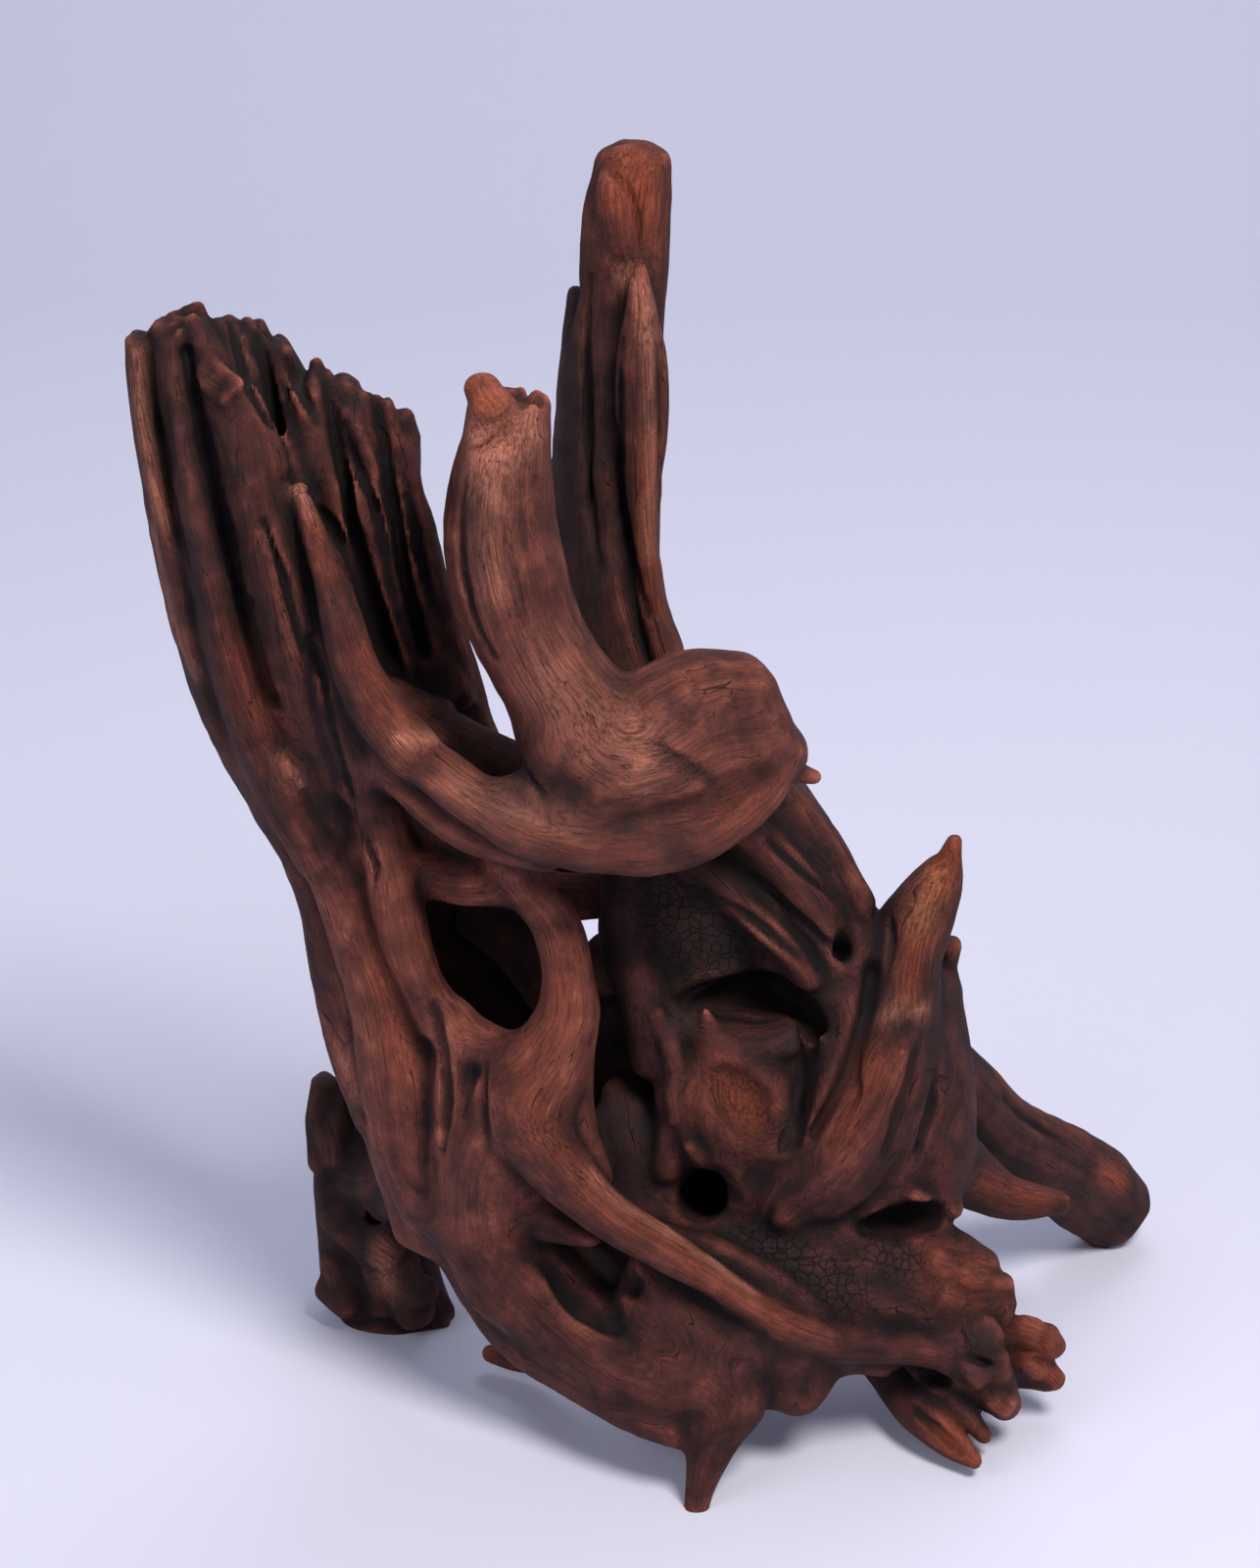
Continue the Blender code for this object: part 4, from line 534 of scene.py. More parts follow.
CROWN = [
    # The rear trunk that carries the post, with its peeled layers.
    Limb((22, 262, 112, 20, 22), (37, 244, 108, 19, 22), (50, 226, 102, 19, 22), (59, 208, 98, 19, 22),
         (68, 188, 94, 20, 22), (72, 168, 90, 20, 22), blend=8),
    Limb((50.5, 244, 94, 5, 8), (59.5, 234, 92, 6, 8), (68, 221, 90, 6, 8), (77, 207, 88, 5, 8), blend=2),
    Limb((30, 240, 84, 6, 8), (44, 226, 78, 6, 8), (56, 212, 74, 6, 8), (65, 198, 72, 5, 7),
         (69, 186, 74, 5, 6), blend=2),
    Limb((38, 238, 90, 4, 6), (50, 222, 83, 5, 7), (61, 206, 78, 5, 7), (70, 193, 76, 4, 6), blend=2),
    Limb((14, 226, 80, 5, 6), (29, 214, 73, 5, 6), (43, 200, 70, 5, 6), (54, 189, 69, 4, 6),
         (60, 181, 70, 4, 5), blend=2),
    # The charred face under the hook.
    Limb((-2, 222, 92, 8, 14), (-2.5, 205, 84, 9, 16), (-1, 188, 78, 9, 16), (5, 172, 68, 9, 16),
         (7, 156, 66, 8, 14), blend=4),
    Limb((20, 226, 96, 22, 18), (22, 204, 90, 24, 18), (24, 184, 88, 22, 16), blend=8),
    Limb((14, 212, 116, 22, 14), (30, 186, 114, 34, 16), (40, 158, 110, 40, 22), (46, 130, 100, 44, 28),
         (52, 102, 84, 38, 26), (56, 86, 72, 26, 18), blend=10),
    Limb((4, 146, 92, 14, 14), (10, 126, 86, 16, 14), (20, 106, 90, 18, 12), blend=8),
    Limb((-8, 188, 114, 8, 10), (-6, 173, 108, 9, 10), (0, 158, 104, 10, 10), blend=6),
    Limb((44, 230, 92, 16, 14), (54, 210, 87, 19, 14), (60, 190, 84, 19, 12), (62, 172, 82, 18, 12),
         blend=8),
    Limb((14, 172, 86, 14, 14), (34, 150, 74, 28, 20), (46, 130, 66, 30, 20), (54, 110, 60, 26, 16),
         (62, 94, 54, 18, 12), blend=8),
    Limb((100, 176, 94, 12, 14), (96, 150, 82, 20, 16), (90, 126, 70, 26, 16), (84, 106, 62, 26, 12),
         blend=8),
    # The burl and the lobes left of it.
    Limb((36, 154, 57, 14, 10), (36, 140, 52, 20, 10), (38, 126, 53, 16, 9), blend=5),
    Limb((26, 156, 58, 5, 9), (20, 144, 54, 5, 10), (19, 130, 54, 5, 10), (27, 118, 56, 5, 9),
         (40, 113, 56, 5, 8), blend=3),
    Limb((-3, 139, 68, 8, 10), (-2, 131, 62, 11, 11), (1, 120, 60, 11, 10), blend=5),
    Limb((12, 166, 62, 6, 10), (14, 150, 60, 7, 12), (14, 132, 58, 7, 12), (12, 118, 56, 7, 10), blend=3),
    # The plate over the cave, left of the fin.
    Limb((22, 164, 62, 6, 8), (34, 159, 58, 6, 9), (46, 159, 58, 6, 9), (58, 162, 62, 7, 9), blend=4),
    Limb((25, 170, 58, 1.5, 2.5), (27, 162, 55, 4, 4), (31, 153, 50, 6, 5), blend=2),
    Limb((50, 150, 64, 8, 9), (53, 138, 60, 8, 10), (51, 124, 55, 8, 9), blend=4),
    # The fin that rises into the horn.
    Limb((109.5, 227, 86, 2.5, 4), (107, 217, 85, 5.5, 7), (101, 204, 83, 9, 9), (95, 190, 80, 11, 11),
         (91, 172, 74, 13, 14), (86, 152, 66, 16, 18), (78, 132, 58, 17, 18), (67, 115, 51, 15, 16),
         (54, 104, 48, 10, 12), blend=5, fray=2),
    Limb((103, 219, 87, 3, 6), (95, 210, 87, 4.5, 8), (89.5, 199, 88, 5.5, 10), (88, 184, 88, 6, 10),
         blend=3, fray=2),
    Limb((76, 194, 86, 7, 9), (75, 168, 70, 8, 9), (71, 144, 58, 8, 9), (62, 124, 50, 7, 8),
         (51, 109, 48, 5, 8), blend=5),
    Limb((64, 180, 84, 6, 8), (63, 160, 70, 6, 9), (59, 140, 60, 6, 9), (53, 122, 53, 5, 8), blend=4),
    Limb((84, 178, 84, 8, 10), (77, 158, 71, 11, 12), (69, 138, 60, 13, 12), (60, 120, 54, 12, 10), blend=10),
    Limb((70, 104, 76, 12, 10), (86, 99, 78, 13, 9), (100, 98, 80, 12, 9), blend=6),
    Limb((97, 186, 76, 5, 7), (95, 165, 66, 6, 8), (88, 144, 56, 6, 8), (78, 124, 48, 6, 8),
         (65, 112, 45, 5, 7), blend=4),
    Limb((100.5, 180, 96, 7, 14), (102, 161, 92, 10.5, 18), (105, 140, 86, 12, 20),
         (104, 120, 80, 12, 18), (98, 104, 76, 10, 14), blend=6),
    Limb((98, 174, 84, 6, 10), (99, 156, 76, 9, 14), (96, 138, 70, 10, 15), (90, 120, 62, 11, 14),
         (84, 110, 60, 10, 10), blend=8),
    Limb((108, 192, 96, 4, 5), (108, 184, 96, 2, 5), (105, 174, 96, 5, 6), blend=2, cap=0.5),
    # The arm at the right, and the stub in front of it.
    Limb((94, 158, 108, 15, 16), (109, 143, 122, 15, 15), (125, 127, 138, 14.5, 13),
         (140, 118.5, 154, 15, 12), (154, 110, 170, 16, 11), (165.5, 100, 184, 13.5, 10), blend=6, fray=3,
         cap=0.3),
    Limb((104, 122, 84, 12, 12), (114, 114, 90, 11, 9), (126, 107, 97, 8, 7), (146, 104, 106, 4, 5),
         blend=5, fray=2, cap=0.5),
    # The jagged plate at the lower right with its knobs and fangs.
    Limb((60, 88, 50, 14, 12), (80, 82, 48, 16, 11), (98, 74, 50, 17, 10), (114, 70, 54, 14, 8),
         (125, 70, 57, 10, 7), blend=6, fray=3, cap=0.6),
    Limb((94, 92, 58, 8, 11), (106, 89, 60, 8, 11), (118, 83, 60, 6, 8), blend=4, fray=2),
    Limb((96, 60, 48, 10, 9), (110, 54, 46, 13, 10), (121, 44, 43, 9, 9), (127, 36, 41, 5.5, 6), blend=5),
    Limb((118, 62, 56, 8, 8), (130, 60, 58, 6, 8), (140, 58, 59, 5.5, 6), blend=3),
    Limb((116, 54, 56, 9, 8), (128, 52, 58, 8, 8), (138, 51, 59, 6, 6), blend=3),
    Limb((124, 47, 58, 6, 6), (133, 46, 59, 4.5, 5), (141, 45.5, 59, 5.5, 5), blend=2.5),
    Limb((82, 54, 60, 7, 8), (91, 42, 53, 7, 7), (101, 30, 36, 7, 6), (111, 21, 26, 5, 5),
         (117, 16.5, 20, 2.5, 3), blend=4, fray=1, cap=0.6),
    Limb((98, 50, 48, 5, 5), (109, 37, 40, 4, 5), (120, 25, 32, 2.5, 3.5), blend=2.5),
]

REAR = [
    # The rear root, from the post's foot to the block at the back left.
    Limb((10, 268, 132, 18, 18), (-8, 240, 142, 16, 18), (-34, 218, 146, 14, 18), (-52, 192, 146, 15, 18),
         (-60, 165, 144, 18, 18), (-70, 135, 142, 20, 18), (-80, 104, 138, 18, 17), blend=8),
    Limb((-18, 262, 152, 5, 7), (-36, 232, 160, 6, 8), (-56, 205, 162, 6, 8), (-68, 170, 160, 7, 8),
         (-78, 135, 156, 7, 8), (-88, 100, 148, 7, 8), blend=4),
    # The swellings of the back.
    Limb((2, 300, 144, 5, 8), (14, 262, 142, 8, 9), (34, 228, 138, 10, 10), (56, 192, 134, 11, 10),
         (78, 156, 130, 12, 10), (104, 132, 130, 9, 9), (132, 112, 146, 6, 8), blend=10),
    Limb((6, 262, 144, 7, 8), (12, 222, 136, 9, 9), (24, 182, 132, 11, 10), (34, 146, 128, 13, 10),
         (42, 118, 116, 12, 9), blend=9),
    Limb((-2, 236, 142, 6, 8), (1, 205, 130, 7, 8), (2, 172, 126, 9, 9), (3, 145, 116, 11, 9), blend=9),
    # The block at the back left, and what ties it to the trunk.
    Limb((-101.5, 141, 148, 7.5, 12), (-98.5, 122, 144, 10, 14), (-94, 102, 139, 13.5, 15),
         (-88, 86, 134, 19.5, 15), (-81, 72, 129, 19, 13), (-71, 61, 125, 13, 10), blend=5, fray=3,
         cap=0.7),
    Limb((-104, 118, 138, 4, 8), (-101, 98, 132, 6, 9), (-97, 82, 126, 8, 9), (-92, 72, 122, 7, 8),
         blend=3),
    Limb((-84, 104, 124, 5, 7), (-81, 86, 118, 7, 8), (-74, 68, 114, 7, 7), blend=3),
    Limb((-84, 112, 132, 14, 14), (-74, 112, 110, 14, 14), (-62, 106, 88, 14, 14), blend=8),
]

HOLLOWS = [
    # The round hole under the burl, the cavity below the fin, the cave over the burl, the recess
    # below the long root, the folds of the fin and the dark gap behind the fangs.
    Limb((23, 106, 22, 12, 9), (24, 107, 48, 10, 8.5), (26, 108, 74, 7, 8), blend=5),
    Limb((18, 109, 24, 6, 6), (29, 104, 30, 6, 6), (34, 103, 42, 4, 4), blend=4),
    Limb((82, 96, 44, 3, 9), (91, 98, 49, 5.5, 15), (101, 100, 55, 5, 13), blend=3),
    Limb((24, 172, 68, 3, 10), (34, 175, 72, 6, 16), (46, 176, 76, 8, 17), (56, 172, 74, 6, 14),
         (62, 163, 66, 4, 10), blend=4),
    Limb((58, 168, 62, 3, 9), (60, 154, 56, 3.5, 9), (58, 140, 50, 3, 8), (55, 126, 46, 2, 6), blend=4),
    Limb((82, 184, 74, 1.5, 4), (79, 166, 60, 2.5, 5), (72, 146, 50, 2.5, 5), (62, 128, 46, 1.5, 4),
         blend=4),
    Limb((95, 180, 63, 1.5, 3), (91, 162, 52, 2, 3.5), (84, 142, 42, 2, 3.5), (74, 124, 38, 1.5, 3),
         blend=4),
    Limb((-24, 86, 36, 3, 6), (-13, 82, 32, 7, 12), (0, 76, 26, 4, 6), blend=4),
    Limb((91, 44, 38, 3, 6), (98, 45, 40, 5, 8), (105, 45, 42, 3, 6), blend=2),
    # The long crack of the slab, and the small knot holes.
    Limb((-152, 394, 76, 1.3, 8), (-145, 365, 70, 1.5, 8), (-138, 335, 65, 1.5, 8),
         (-131, 305, 62, 1.4, 8), (-120, 272, 62, 1, 6), blend=1),
    # The valleys between the ridges of the right half.
    Limb((-127, 398, 92, 1.6, 7), (-119, 362, 88, 1.6, 7), (-113, 336, 85, 1.3, 5), blend=2),
    Limb((-105, 390, 92, 1.8, 7), (-99, 355, 89, 1.8, 7), (-91, 318, 90, 1.8, 7), (-82, 288, 92, 1.5, 6),
         blend=2.5),
    Limb((-87, 380, 99, 1.6, 6), (-83, 352, 96, 1.6, 7), (-78, 320, 95, 1.6, 7), (-71, 292, 95, 1.4, 6),
         blend=2.5),
    Limb((-87, 101, 120, 4, 4), (-86, 101, 136, 3, 3), (-85, 101, 146, 2, 2), blend=1),
    Limb((74, 196, 62, 2, 4), (72, 192, 72, 4, 5), (69, 188, 80, 2.5, 3), blend=3),
]

# The cracks and dents that the view shows: half width, depth and the course of each one as (right, up).
CRACKS = (
    # The slab, from its left edge to its right one.
    (1.3, 3.5, ((-152, 392), (-147, 366), (-141, 339), (-135, 313), (-128, 287), (-123, 272))),
    (1.3, 3, ((-164, 397), (-162, 379), (-159, 356), (-155, 336), (-149, 316))),
    (1.5, 4, ((-137, 404), (-131, 382), (-120, 363), (-115, 349))),
    (1.3, 3, ((-125, 336), (-118, 316), (-112, 292))),
    (1.4, 3.5, ((-112, 347), (-103, 336), (-96, 323), (-92, 311), (-86, 294))),
    (1.4, 3, ((-92, 353), (-86, 336), (-80, 308))),
    (1.3, 3.5, ((-99, 369), (-95, 358), (-90, 348))),
    (1.3, 4, ((-76, 345), (-72, 324), (-68, 307))),
    (1.4, 4, ((-110, 297), (-105, 284), (-102, 265), (-96, 246), (-92, 230))),
    (1.2, 3, ((-118, 392), (-112, 380), (-107, 370))),
    # The hook and the lip.
    (1.3, 3, ((-57, 350), (-58, 332), (-57, 318), (-53, 302), (-47, 290))),
    (1.2, 2.2, ((-40, 371), (-47, 363), (-56, 360))),
    (1.2, 2.2, ((-37, 255), (-33, 247), (-28, 240))),
    (3.5, 1.8, ((-3, 262), (8, 258), (18, 252), (28, 247))),
    (3.0, 1.5, ((-44, 330), (-41, 318), (-37, 300))),
    (2.5, 1.5, ((-30, 232), (-12, 231), (8, 236), (24, 243))),
    # The post.
    (1.3, 2.5, ((-8, 457), (-2, 450), (2, 441), (3, 432))),
    (1.5, 5, ((-3, 398), (-4, 380), (-4, 360), (-3, 345), (-1, 330), (2, 315), (5, 305))),
    (1.4, 4, ((-14, 420), (-15, 395), (-15, 370), (-14, 345), (-11, 320))),
    (1.2, 2.5, ((8, 405), (9, 385), (9, 360), (9, 335))),
    # The trunk and the body.
    (1.3, 2.5, ((-93, 237), (-90, 228), (-87, 220), (-87, 208))),
    (3.0, 2.8, ((-67, 172), (-65, 156), (-63, 140), (-64, 122))),
    (2.6, 1.8, ((-50, 152), (-51, 138), (-49, 122))),
    (5.0, 3, ((-30, 84), (-18, 70), (-4, 60))),
    # The burl's bowl and its cross crack, the groove beside it and the fin's folds.
    (9.0, 6.0, ((30, 148), (36, 139), (43, 128))),
    (1.2, 2.5, ((30, 134), (37, 136), (45, 134))),
    (2.5, 4, ((56, 164), (58, 150), (56, 136), (51, 123))),
    (3.0, 2.5, ((77, 158), (75, 142), (68, 123))),
    (3.0, 2.5, ((98, 160), (94, 142), (86, 120))),
    (2.0, 2.5, ((103, 150), (102, 136), (97, 122))),
    # The peeled ridges of the crown.
    (2.2, 4, ((34, 222), (48, 210), (60, 199), (68, 191))),
    (1.8, 3, ((46, 228), (58, 217), (68, 207))),
    (1.8, 3, ((30, 208), (42, 200), (52, 192), (58, 187))),
    (1.5, 3, ((88, 206), (89, 194), (87, 182))),
    # The arm and the plate.
    (1.2, 1.6, ((126, 140), (139, 130), (150, 123))),
    (1.3, 3, ((94, 36), (103, 28), (112, 19))),
    (1.2, 3, ((114, 52), (119, 50), (126, 50))),
)

# The small ridges, plates and knobs on the surface: half width, height, tone and course.
KNOBS = (
    # The scar at the slab's foot.
    (2.6, 2.4, 0.75, ((-119, 256), (-117, 250))),
    (2.0, 2.0, 0.75, ((-114, 252), (-113, 246))),
    # The knob at the hook's top.
    (6.2, 6.0, 0.7, ((-51, 381), (-48, 376))),
    # The flake that lies on the slab, and the ridges of its torn edge.
    (6.0, 2.2, 0.35, ((-147, 388), (-141, 384), (-136, 380))),
    (2.4, 2.4, 0.3, ((-137, 402), (-133, 388))),
    (2.2, 2.2, 0.3, ((-121, 396), (-117, 384), (-112, 372))),
    (2.0, 2.0, 0.3, ((-109, 386), (-105, 374))),
    (2.0, 2.0, 0.4, ((-97, 374), (-91, 362), (-86, 352))),
    (1.8, 2.0, 0.3, ((-92, 379), (-88, 368))),
    (1.8, 2.0, 0.3, ((-84, 372), (-81, 362))),
    # The plate at the lower right: its knobs, the grey lump and the reddish nodules.
    (4.5, 3.0, 0.5, ((103, 84), (108, 82))),
    (4.0, 3.0, 0.5, ((113, 80), (117, 78))),
    (3.5, 2.5, 0.45, ((106, 72), (111, 70))),
    (2.5, 2.5, 0.5, ((121, 77), (127, 76))),
    (6.0, 4.0, 0.3, ((118, 61), (121, 57))),
    (5.0, 4.0, 0.3, ((123, 51), (124, 46))),
    (4.0, 3.5, 0.3, ((115, 48), (118, 44))),
    (4.0, 3.5, 0.6, ((124, 37), (127, 35))),
    (5.0, 4.5, 0.5, ((133, 61), (136, 60))),
    (4.5, 4.5, 0.5, ((141, 57), (143, 55))),
    (4.0, 4.0, 0.5, ((135, 50), (138, 48))),
    (4.0, 4.0, 0.5, ((142, 46), (144, 44))),
    # The spur over the cavity and the rim of the burl.
    (3.5, 3.0, 0.45, ((96, 107), (103, 104), (112, 102))),
    (2.5, 2.2, 0.5, ((16, 150), (14, 142), (15, 133))),
    (2.5, 2.2, 0.5, ((20, 124), (26, 118), (34, 115))),
    # The broken roof of the cave over the burl.
    (3.5, 3.0, 0.2, ((14, 178), (24, 183), (36, 184))),
    (3.0, 2.5, 0.2, ((8, 168), (12, 160), (15, 152))),
    # The block's lumps.
    (7.0, 4.5, 0.3, ((-100, 100), (-92, 92), (-82, 88))),
    (6.0, 4.0, 0.3, ((-103, 76), (-96, 70))),
    (5.0, 4.0, 0.3, ((-78, 76), (-70, 74))),
    (4.0, 3.5, 0.3, ((-105, 145), (-107, 132), (-106, 118))),
    (4.0, 3.0, 0.2, ((-104, 130), (-101, 120))),
    (5.0, 3.0, 0.3, ((-90, 92), (-86, 78), (-84, 68))),
    (4.0, 3.0, 0.25, ((-102, 84), (-98, 74))),
    (3.5, 3.0, 0.25, ((-76, 84), (-73, 72))),
)

# Where the colour departs from its limb's, in stained places and in painted shade: the kind, strength,
# radius and course of each.
STAINS_AND_SHADE = (
    # Fresh breaks and torn grain.
    ("rust", 1.0, 11, ((-50, 380), (-49, 376))),
    ("torn", 0.95, 7, ((-53, 366), (-45, 360))),
    ("torn", 0.7, 6, ((-54, 352), (-48, 344))),
    ("torn", 0.7, 6, ((-38, 372), (-33, 368))),
    ("torn", 0.45, 6, ((-50, 330), (-46, 312))),
    ("torn", 0.85, 3, ((-66, 262), (-74, 262), (-79, 262))),
    ("torn", 0.6, 3.5, ((-114, 346), (-111, 340))),
    ("rust", 0.35, 4, ((-110, 335), (-104, 318))),
    ("torn", 0.4, 5, ((-169, 392), (-168, 370), (-164, 350), (-160, 338))),
    ("torn", 0.5, 4, ((-163, 332), (-157, 305), (-150, 285))),
    ("rust", 0.4, 8, ((-90, 290), (-82, 272), (-76, 264))),
    ("torn", 0.45, 5, ((-60, 246), (-45, 238), (-33, 234), (-20, 231))),
    ("rust", 0.35, 9, ((-30, 228), (-5, 226), (20, 230), (38, 238))),
    ("torn", 0.35, 4, ((-118, 254), (-114, 247))),
    ("rust", 0.3, 9, ((-125, 268), (-134, 290))),
    ("rust", 0.75, 9, ((0, 458), (-3, 446))),
    ("rust", 0.5, 7, ((4, 452), (6, 436))),
    ("rust", 0.55, 5, ((3, 420), (4, 408))),
    ("torn", 0.45, 3, ((6, 400), (6.5, 370), (6.5, 345), (6, 325))),
    ("rust", 0.4, 5, ((6, 360), (6, 330), (10, 310))),
    ("rust", 0.8, 7, ((108, 226), (104, 214))),
    ("gold", 0.6, 5, ((103, 214), (100, 206), (98, 200))),
    ("rust", 0.6, 5, ((97, 195), (94, 184), (93, 176))),
    ("torn", 0.5, 2.5, ((100, 170), (92, 172), (86, 168))),
    ("rust", 0.4, 9, ((82, 150), (72, 128))),
    ("rust", 0.9, 6, ((166, 112), (161, 114))),
    ("rust", 0.4, 4, ((125, 147), (140, 135), (155, 125))),
    ("rust", 0.45, 6, ((120, 110), (140, 106))),
    ("rust", 0.6, 7, ((108, 26), (116, 18))),
    ("rust", 0.5, 8, ((135, 60), (142, 48))),
    ("rust", 0.35, 10, ((104, 82), (116, 76))),
    ("rust", 0.3, 9, ((40, 140),)),
    ("rust", 0.4, 8, ((34, 142), (41, 130))),
    ("rust", 0.3, 8, ((28, 150), (22, 140))),
    ("torn", 0.5, 3, ((-13, 114), (-3, 104), (10, 96), (25, 86), (40, 75))),
    ("rust", 0.35, 7, ((-30, 128), (-13, 108), (10, 92), (30, 76), (55, 62))),
    ("torn", 0.5, 5, ((-85, 88), (-83, 74))),
    ("torn", 0.35, 3, ((-102, 132), (-102, 118))),
    ("torn", 0.45, 4, ((-99, 158), (-96, 148), (-91, 138))),
    ("torn", 0.35, 3.5, ((0, 268), (4, 258), (4, 246))),
    ("rust", 0.3, 8, ((-86, 200), (-84, 175), (-78, 150))),
    ("rust", 0.3, 8, ((-24, 180), (-26, 160), (-36, 140))),
    ("torn", 0.35, 13, ((-26, 284), (-16, 268), (2, 256))),
    ("torn", 0.6, 5, ((-1, 420), (4, 411), (6, 402))),
    # Charred and blackened places, and painted shade laid in the same dark colours.
    # Charred places.
    ("char_and_shade", 0.85, 14, ((8, 205), (20, 198), (34, 194))),
    ("char_and_shade", 0.6, 9, ((14, 222), (36, 214))),
    # Painted shade in the cave over the burl and in the dark cleft right of the trunk.
    ("char_and_shade", 0.9, 5, ((14, 166), (24, 172), (36, 178), (50, 179))),
    ("char_and_shade", 0.95, 8, ((-10, 196), (-9, 172), (-7, 150))),
    # Charred places.
    ("char_and_shade", 0.7, 10, ((-4, 134), (0, 118))),
    # Painted shade down the fold beside the burl.
    ("char_and_shade", 0.8, 5, ((54, 164), (56, 146), (52, 126))),
    # Charred places.
    ("char_and_shade", 0.45, 7, ((68, 178), (64, 158), (58, 138))),
    ("char_and_shade", 0.55, 8, ((46, 88), (60, 80), (74, 74))),
    ("char_and_shade", 0.5, 7, ((86, 84), (94, 82))),
    ("char_and_shade", 0.65, 7, ((120, 58), (116, 48))),
    # Painted shade on the post's left side and on the left face of its front ridge.
    ("char_and_shade", 0.9, 9, ((-22, 410), (-21, 380), (-20, 345), (-14, 310))),
    ("char_and_shade", 0.55, 6, ((-9, 400), (-9, 360), (-8, 320))),
    # Charred places.
    ("char_and_shade", 0.3, 7, ((-97, 335), (-92, 310), (-86, 290))),
    ("char_and_shade", 0.4, 6, ((-157, 390), (-153, 350), (-146, 320))),
    ("char_and_shade", 0.35, 9, ((-124, 394), (-112, 382), (-98, 378))),
    ("char_and_shade", 0.2, 9, ((-104, 296), (-96, 270))),
    ("char_and_shade", 0.6, 14, ((-104, 140), (-100, 108), (-96, 84))),
    ("char_and_shade", 0.7, 7, ((-74, 84), (-76, 70))),
    # Painted shade in the hollow right of the ridge beside the eye, in the recess under the long root, in the
    # crease under the hook's arm and in the eye.
    ("char_and_shade", 0.6, 7, ((-16, 140), (-22, 132))),
    ("char_and_shade", 0.7, 7, ((-12, 82),)),
    ("char_and_shade", 0.7, 8, ((-60, 262), (-44, 258), (-34, 250))),
    ("char_and_shade", 0.98, 17, ((-64, 206), (-54, 200), (-48, 188), (-45, 176))),
    ("char_and_shade", 0.95, 8, ((-40, 204), (-37, 194), (-36, 182))),
    # Charred places.
    ("char_and_shade", 0.35, 5, ((-54, 346), (-52, 326))),
    ("char_and_shade", 0.3, 4, ((-40, 348), (-37, 330))),
    # Painted shade on the lintel under the hook's lip and on the lip's underside.
    ("char_and_shade", 0.97, 10, ((-30, 219), (-18, 217), (-6, 215))),
    ("char_and_shade", 0.5, 9, ((-46, 240), (-22, 236), (0, 231), (24, 232))),
    # Charred places.
    ("char_and_shade", 0.5, 6, ((-56, 340), (-57, 320), (-52, 300))),
    # Painted shade in the cavity below the fin.
    ("char_and_shade", 0.6, 6, ((98, 98), (88, 98))),
    # Charred places.
    ("char_and_shade", 0.5, 8, ((150, 108), (168, 100))),
    ("char_and_shade", 0.5, 6, ((88, 206), (88, 190), (86, 176))),
    # Skin that has dried and split into small plates.
    ("crackle", 1.0, 14, ((12, 206), (22, 196), (34, 190))),
    ("crackle", 1.0, 9, ((44, 92), (56, 82), (72, 74))),
    ("crackle", 1.0, 7, ((84, 88), (94, 84))),
)

# The wood by its parts, with the tone and the roughness of each.
GROUPS = (
    (SLAB + splinters(), 0.34, 1.0),
    (HOOK, 0.54, 0.55),
    (POST, 0.42, 0.9),
    (TRUNK, 0.63, 0.55),
    (BODY, 0.39, 0.5),
    (CROWN, 0.32, 0.8),
    (REAR, 0.3, 0.9),
)


def soft_min(a, b, blend):
    """The lower of two depths, with a fillet as wide as the blend where they meet."""
    h = np.maximum(blend - np.abs(a - b), 0.0) / blend
    return np.minimum(a, b) - h * h * blend / 4


def soft_cut(a, b, blend):
    """The negative of the soft minimum, so that the second shape is taken out of the first."""
    return -soft_min(-a, b, blend)


class Grid:
    """The coarse grid round the wood, with the depth of each of its points below the wood's skin."""

    def __init__(self, limbs):
        margins = [limb.half.max(axis=1)[:, None] + REACH for limb in limbs]
        low = np.min([(limb.centre - margin).min(axis=0) for limb, margin in zip(limbs, margins)], axis=0)
        high = np.max([(limb.centre + margin).max(axis=0) for limb, margin in zip(limbs, margins)], axis=0)
        self.low = low
        self.axes = [np.arange(lo, hi, CELL) for lo, hi in zip(low, high)]
        self.field = np.full([len(a) for a in self.axes], REACH)

    def lay(self, limb, join):
        """Joins a limb into the field, at the grid points near it."""
        limb.locate(self.axes)
        local = np.nonzero(limb.which >= 0)
        index = tuple(n + first for n, first in zip(local, limb.corner))
        points = np.stack([a[i] for a, i in zip(self.axes, index)], axis=1)
        depth, _ = limb.depth(points, limb.which[local])
        self.field[index] = join(self.field[index], depth, limb.blend)

    def nearest(self, points):
        """The grid cell that each point lies in."""
        cells = np.floor((points - self.low) / CELL).astype(np.int64)
        return np.clip(cells, 0, np.array(self.field.shape) - 2)

    def at(self, points):
        """The field between the grid points."""
        cells = self.nearest(points)
        share = (points - self.low) / CELL - cells
        total = np.zeros(len(points))
        for corner in CORNERS:
            weight = np.prod(np.where(corner, share, 1 - share), axis=1)
            total += self.field[tuple((cells + corner).T)] * weight
        return total


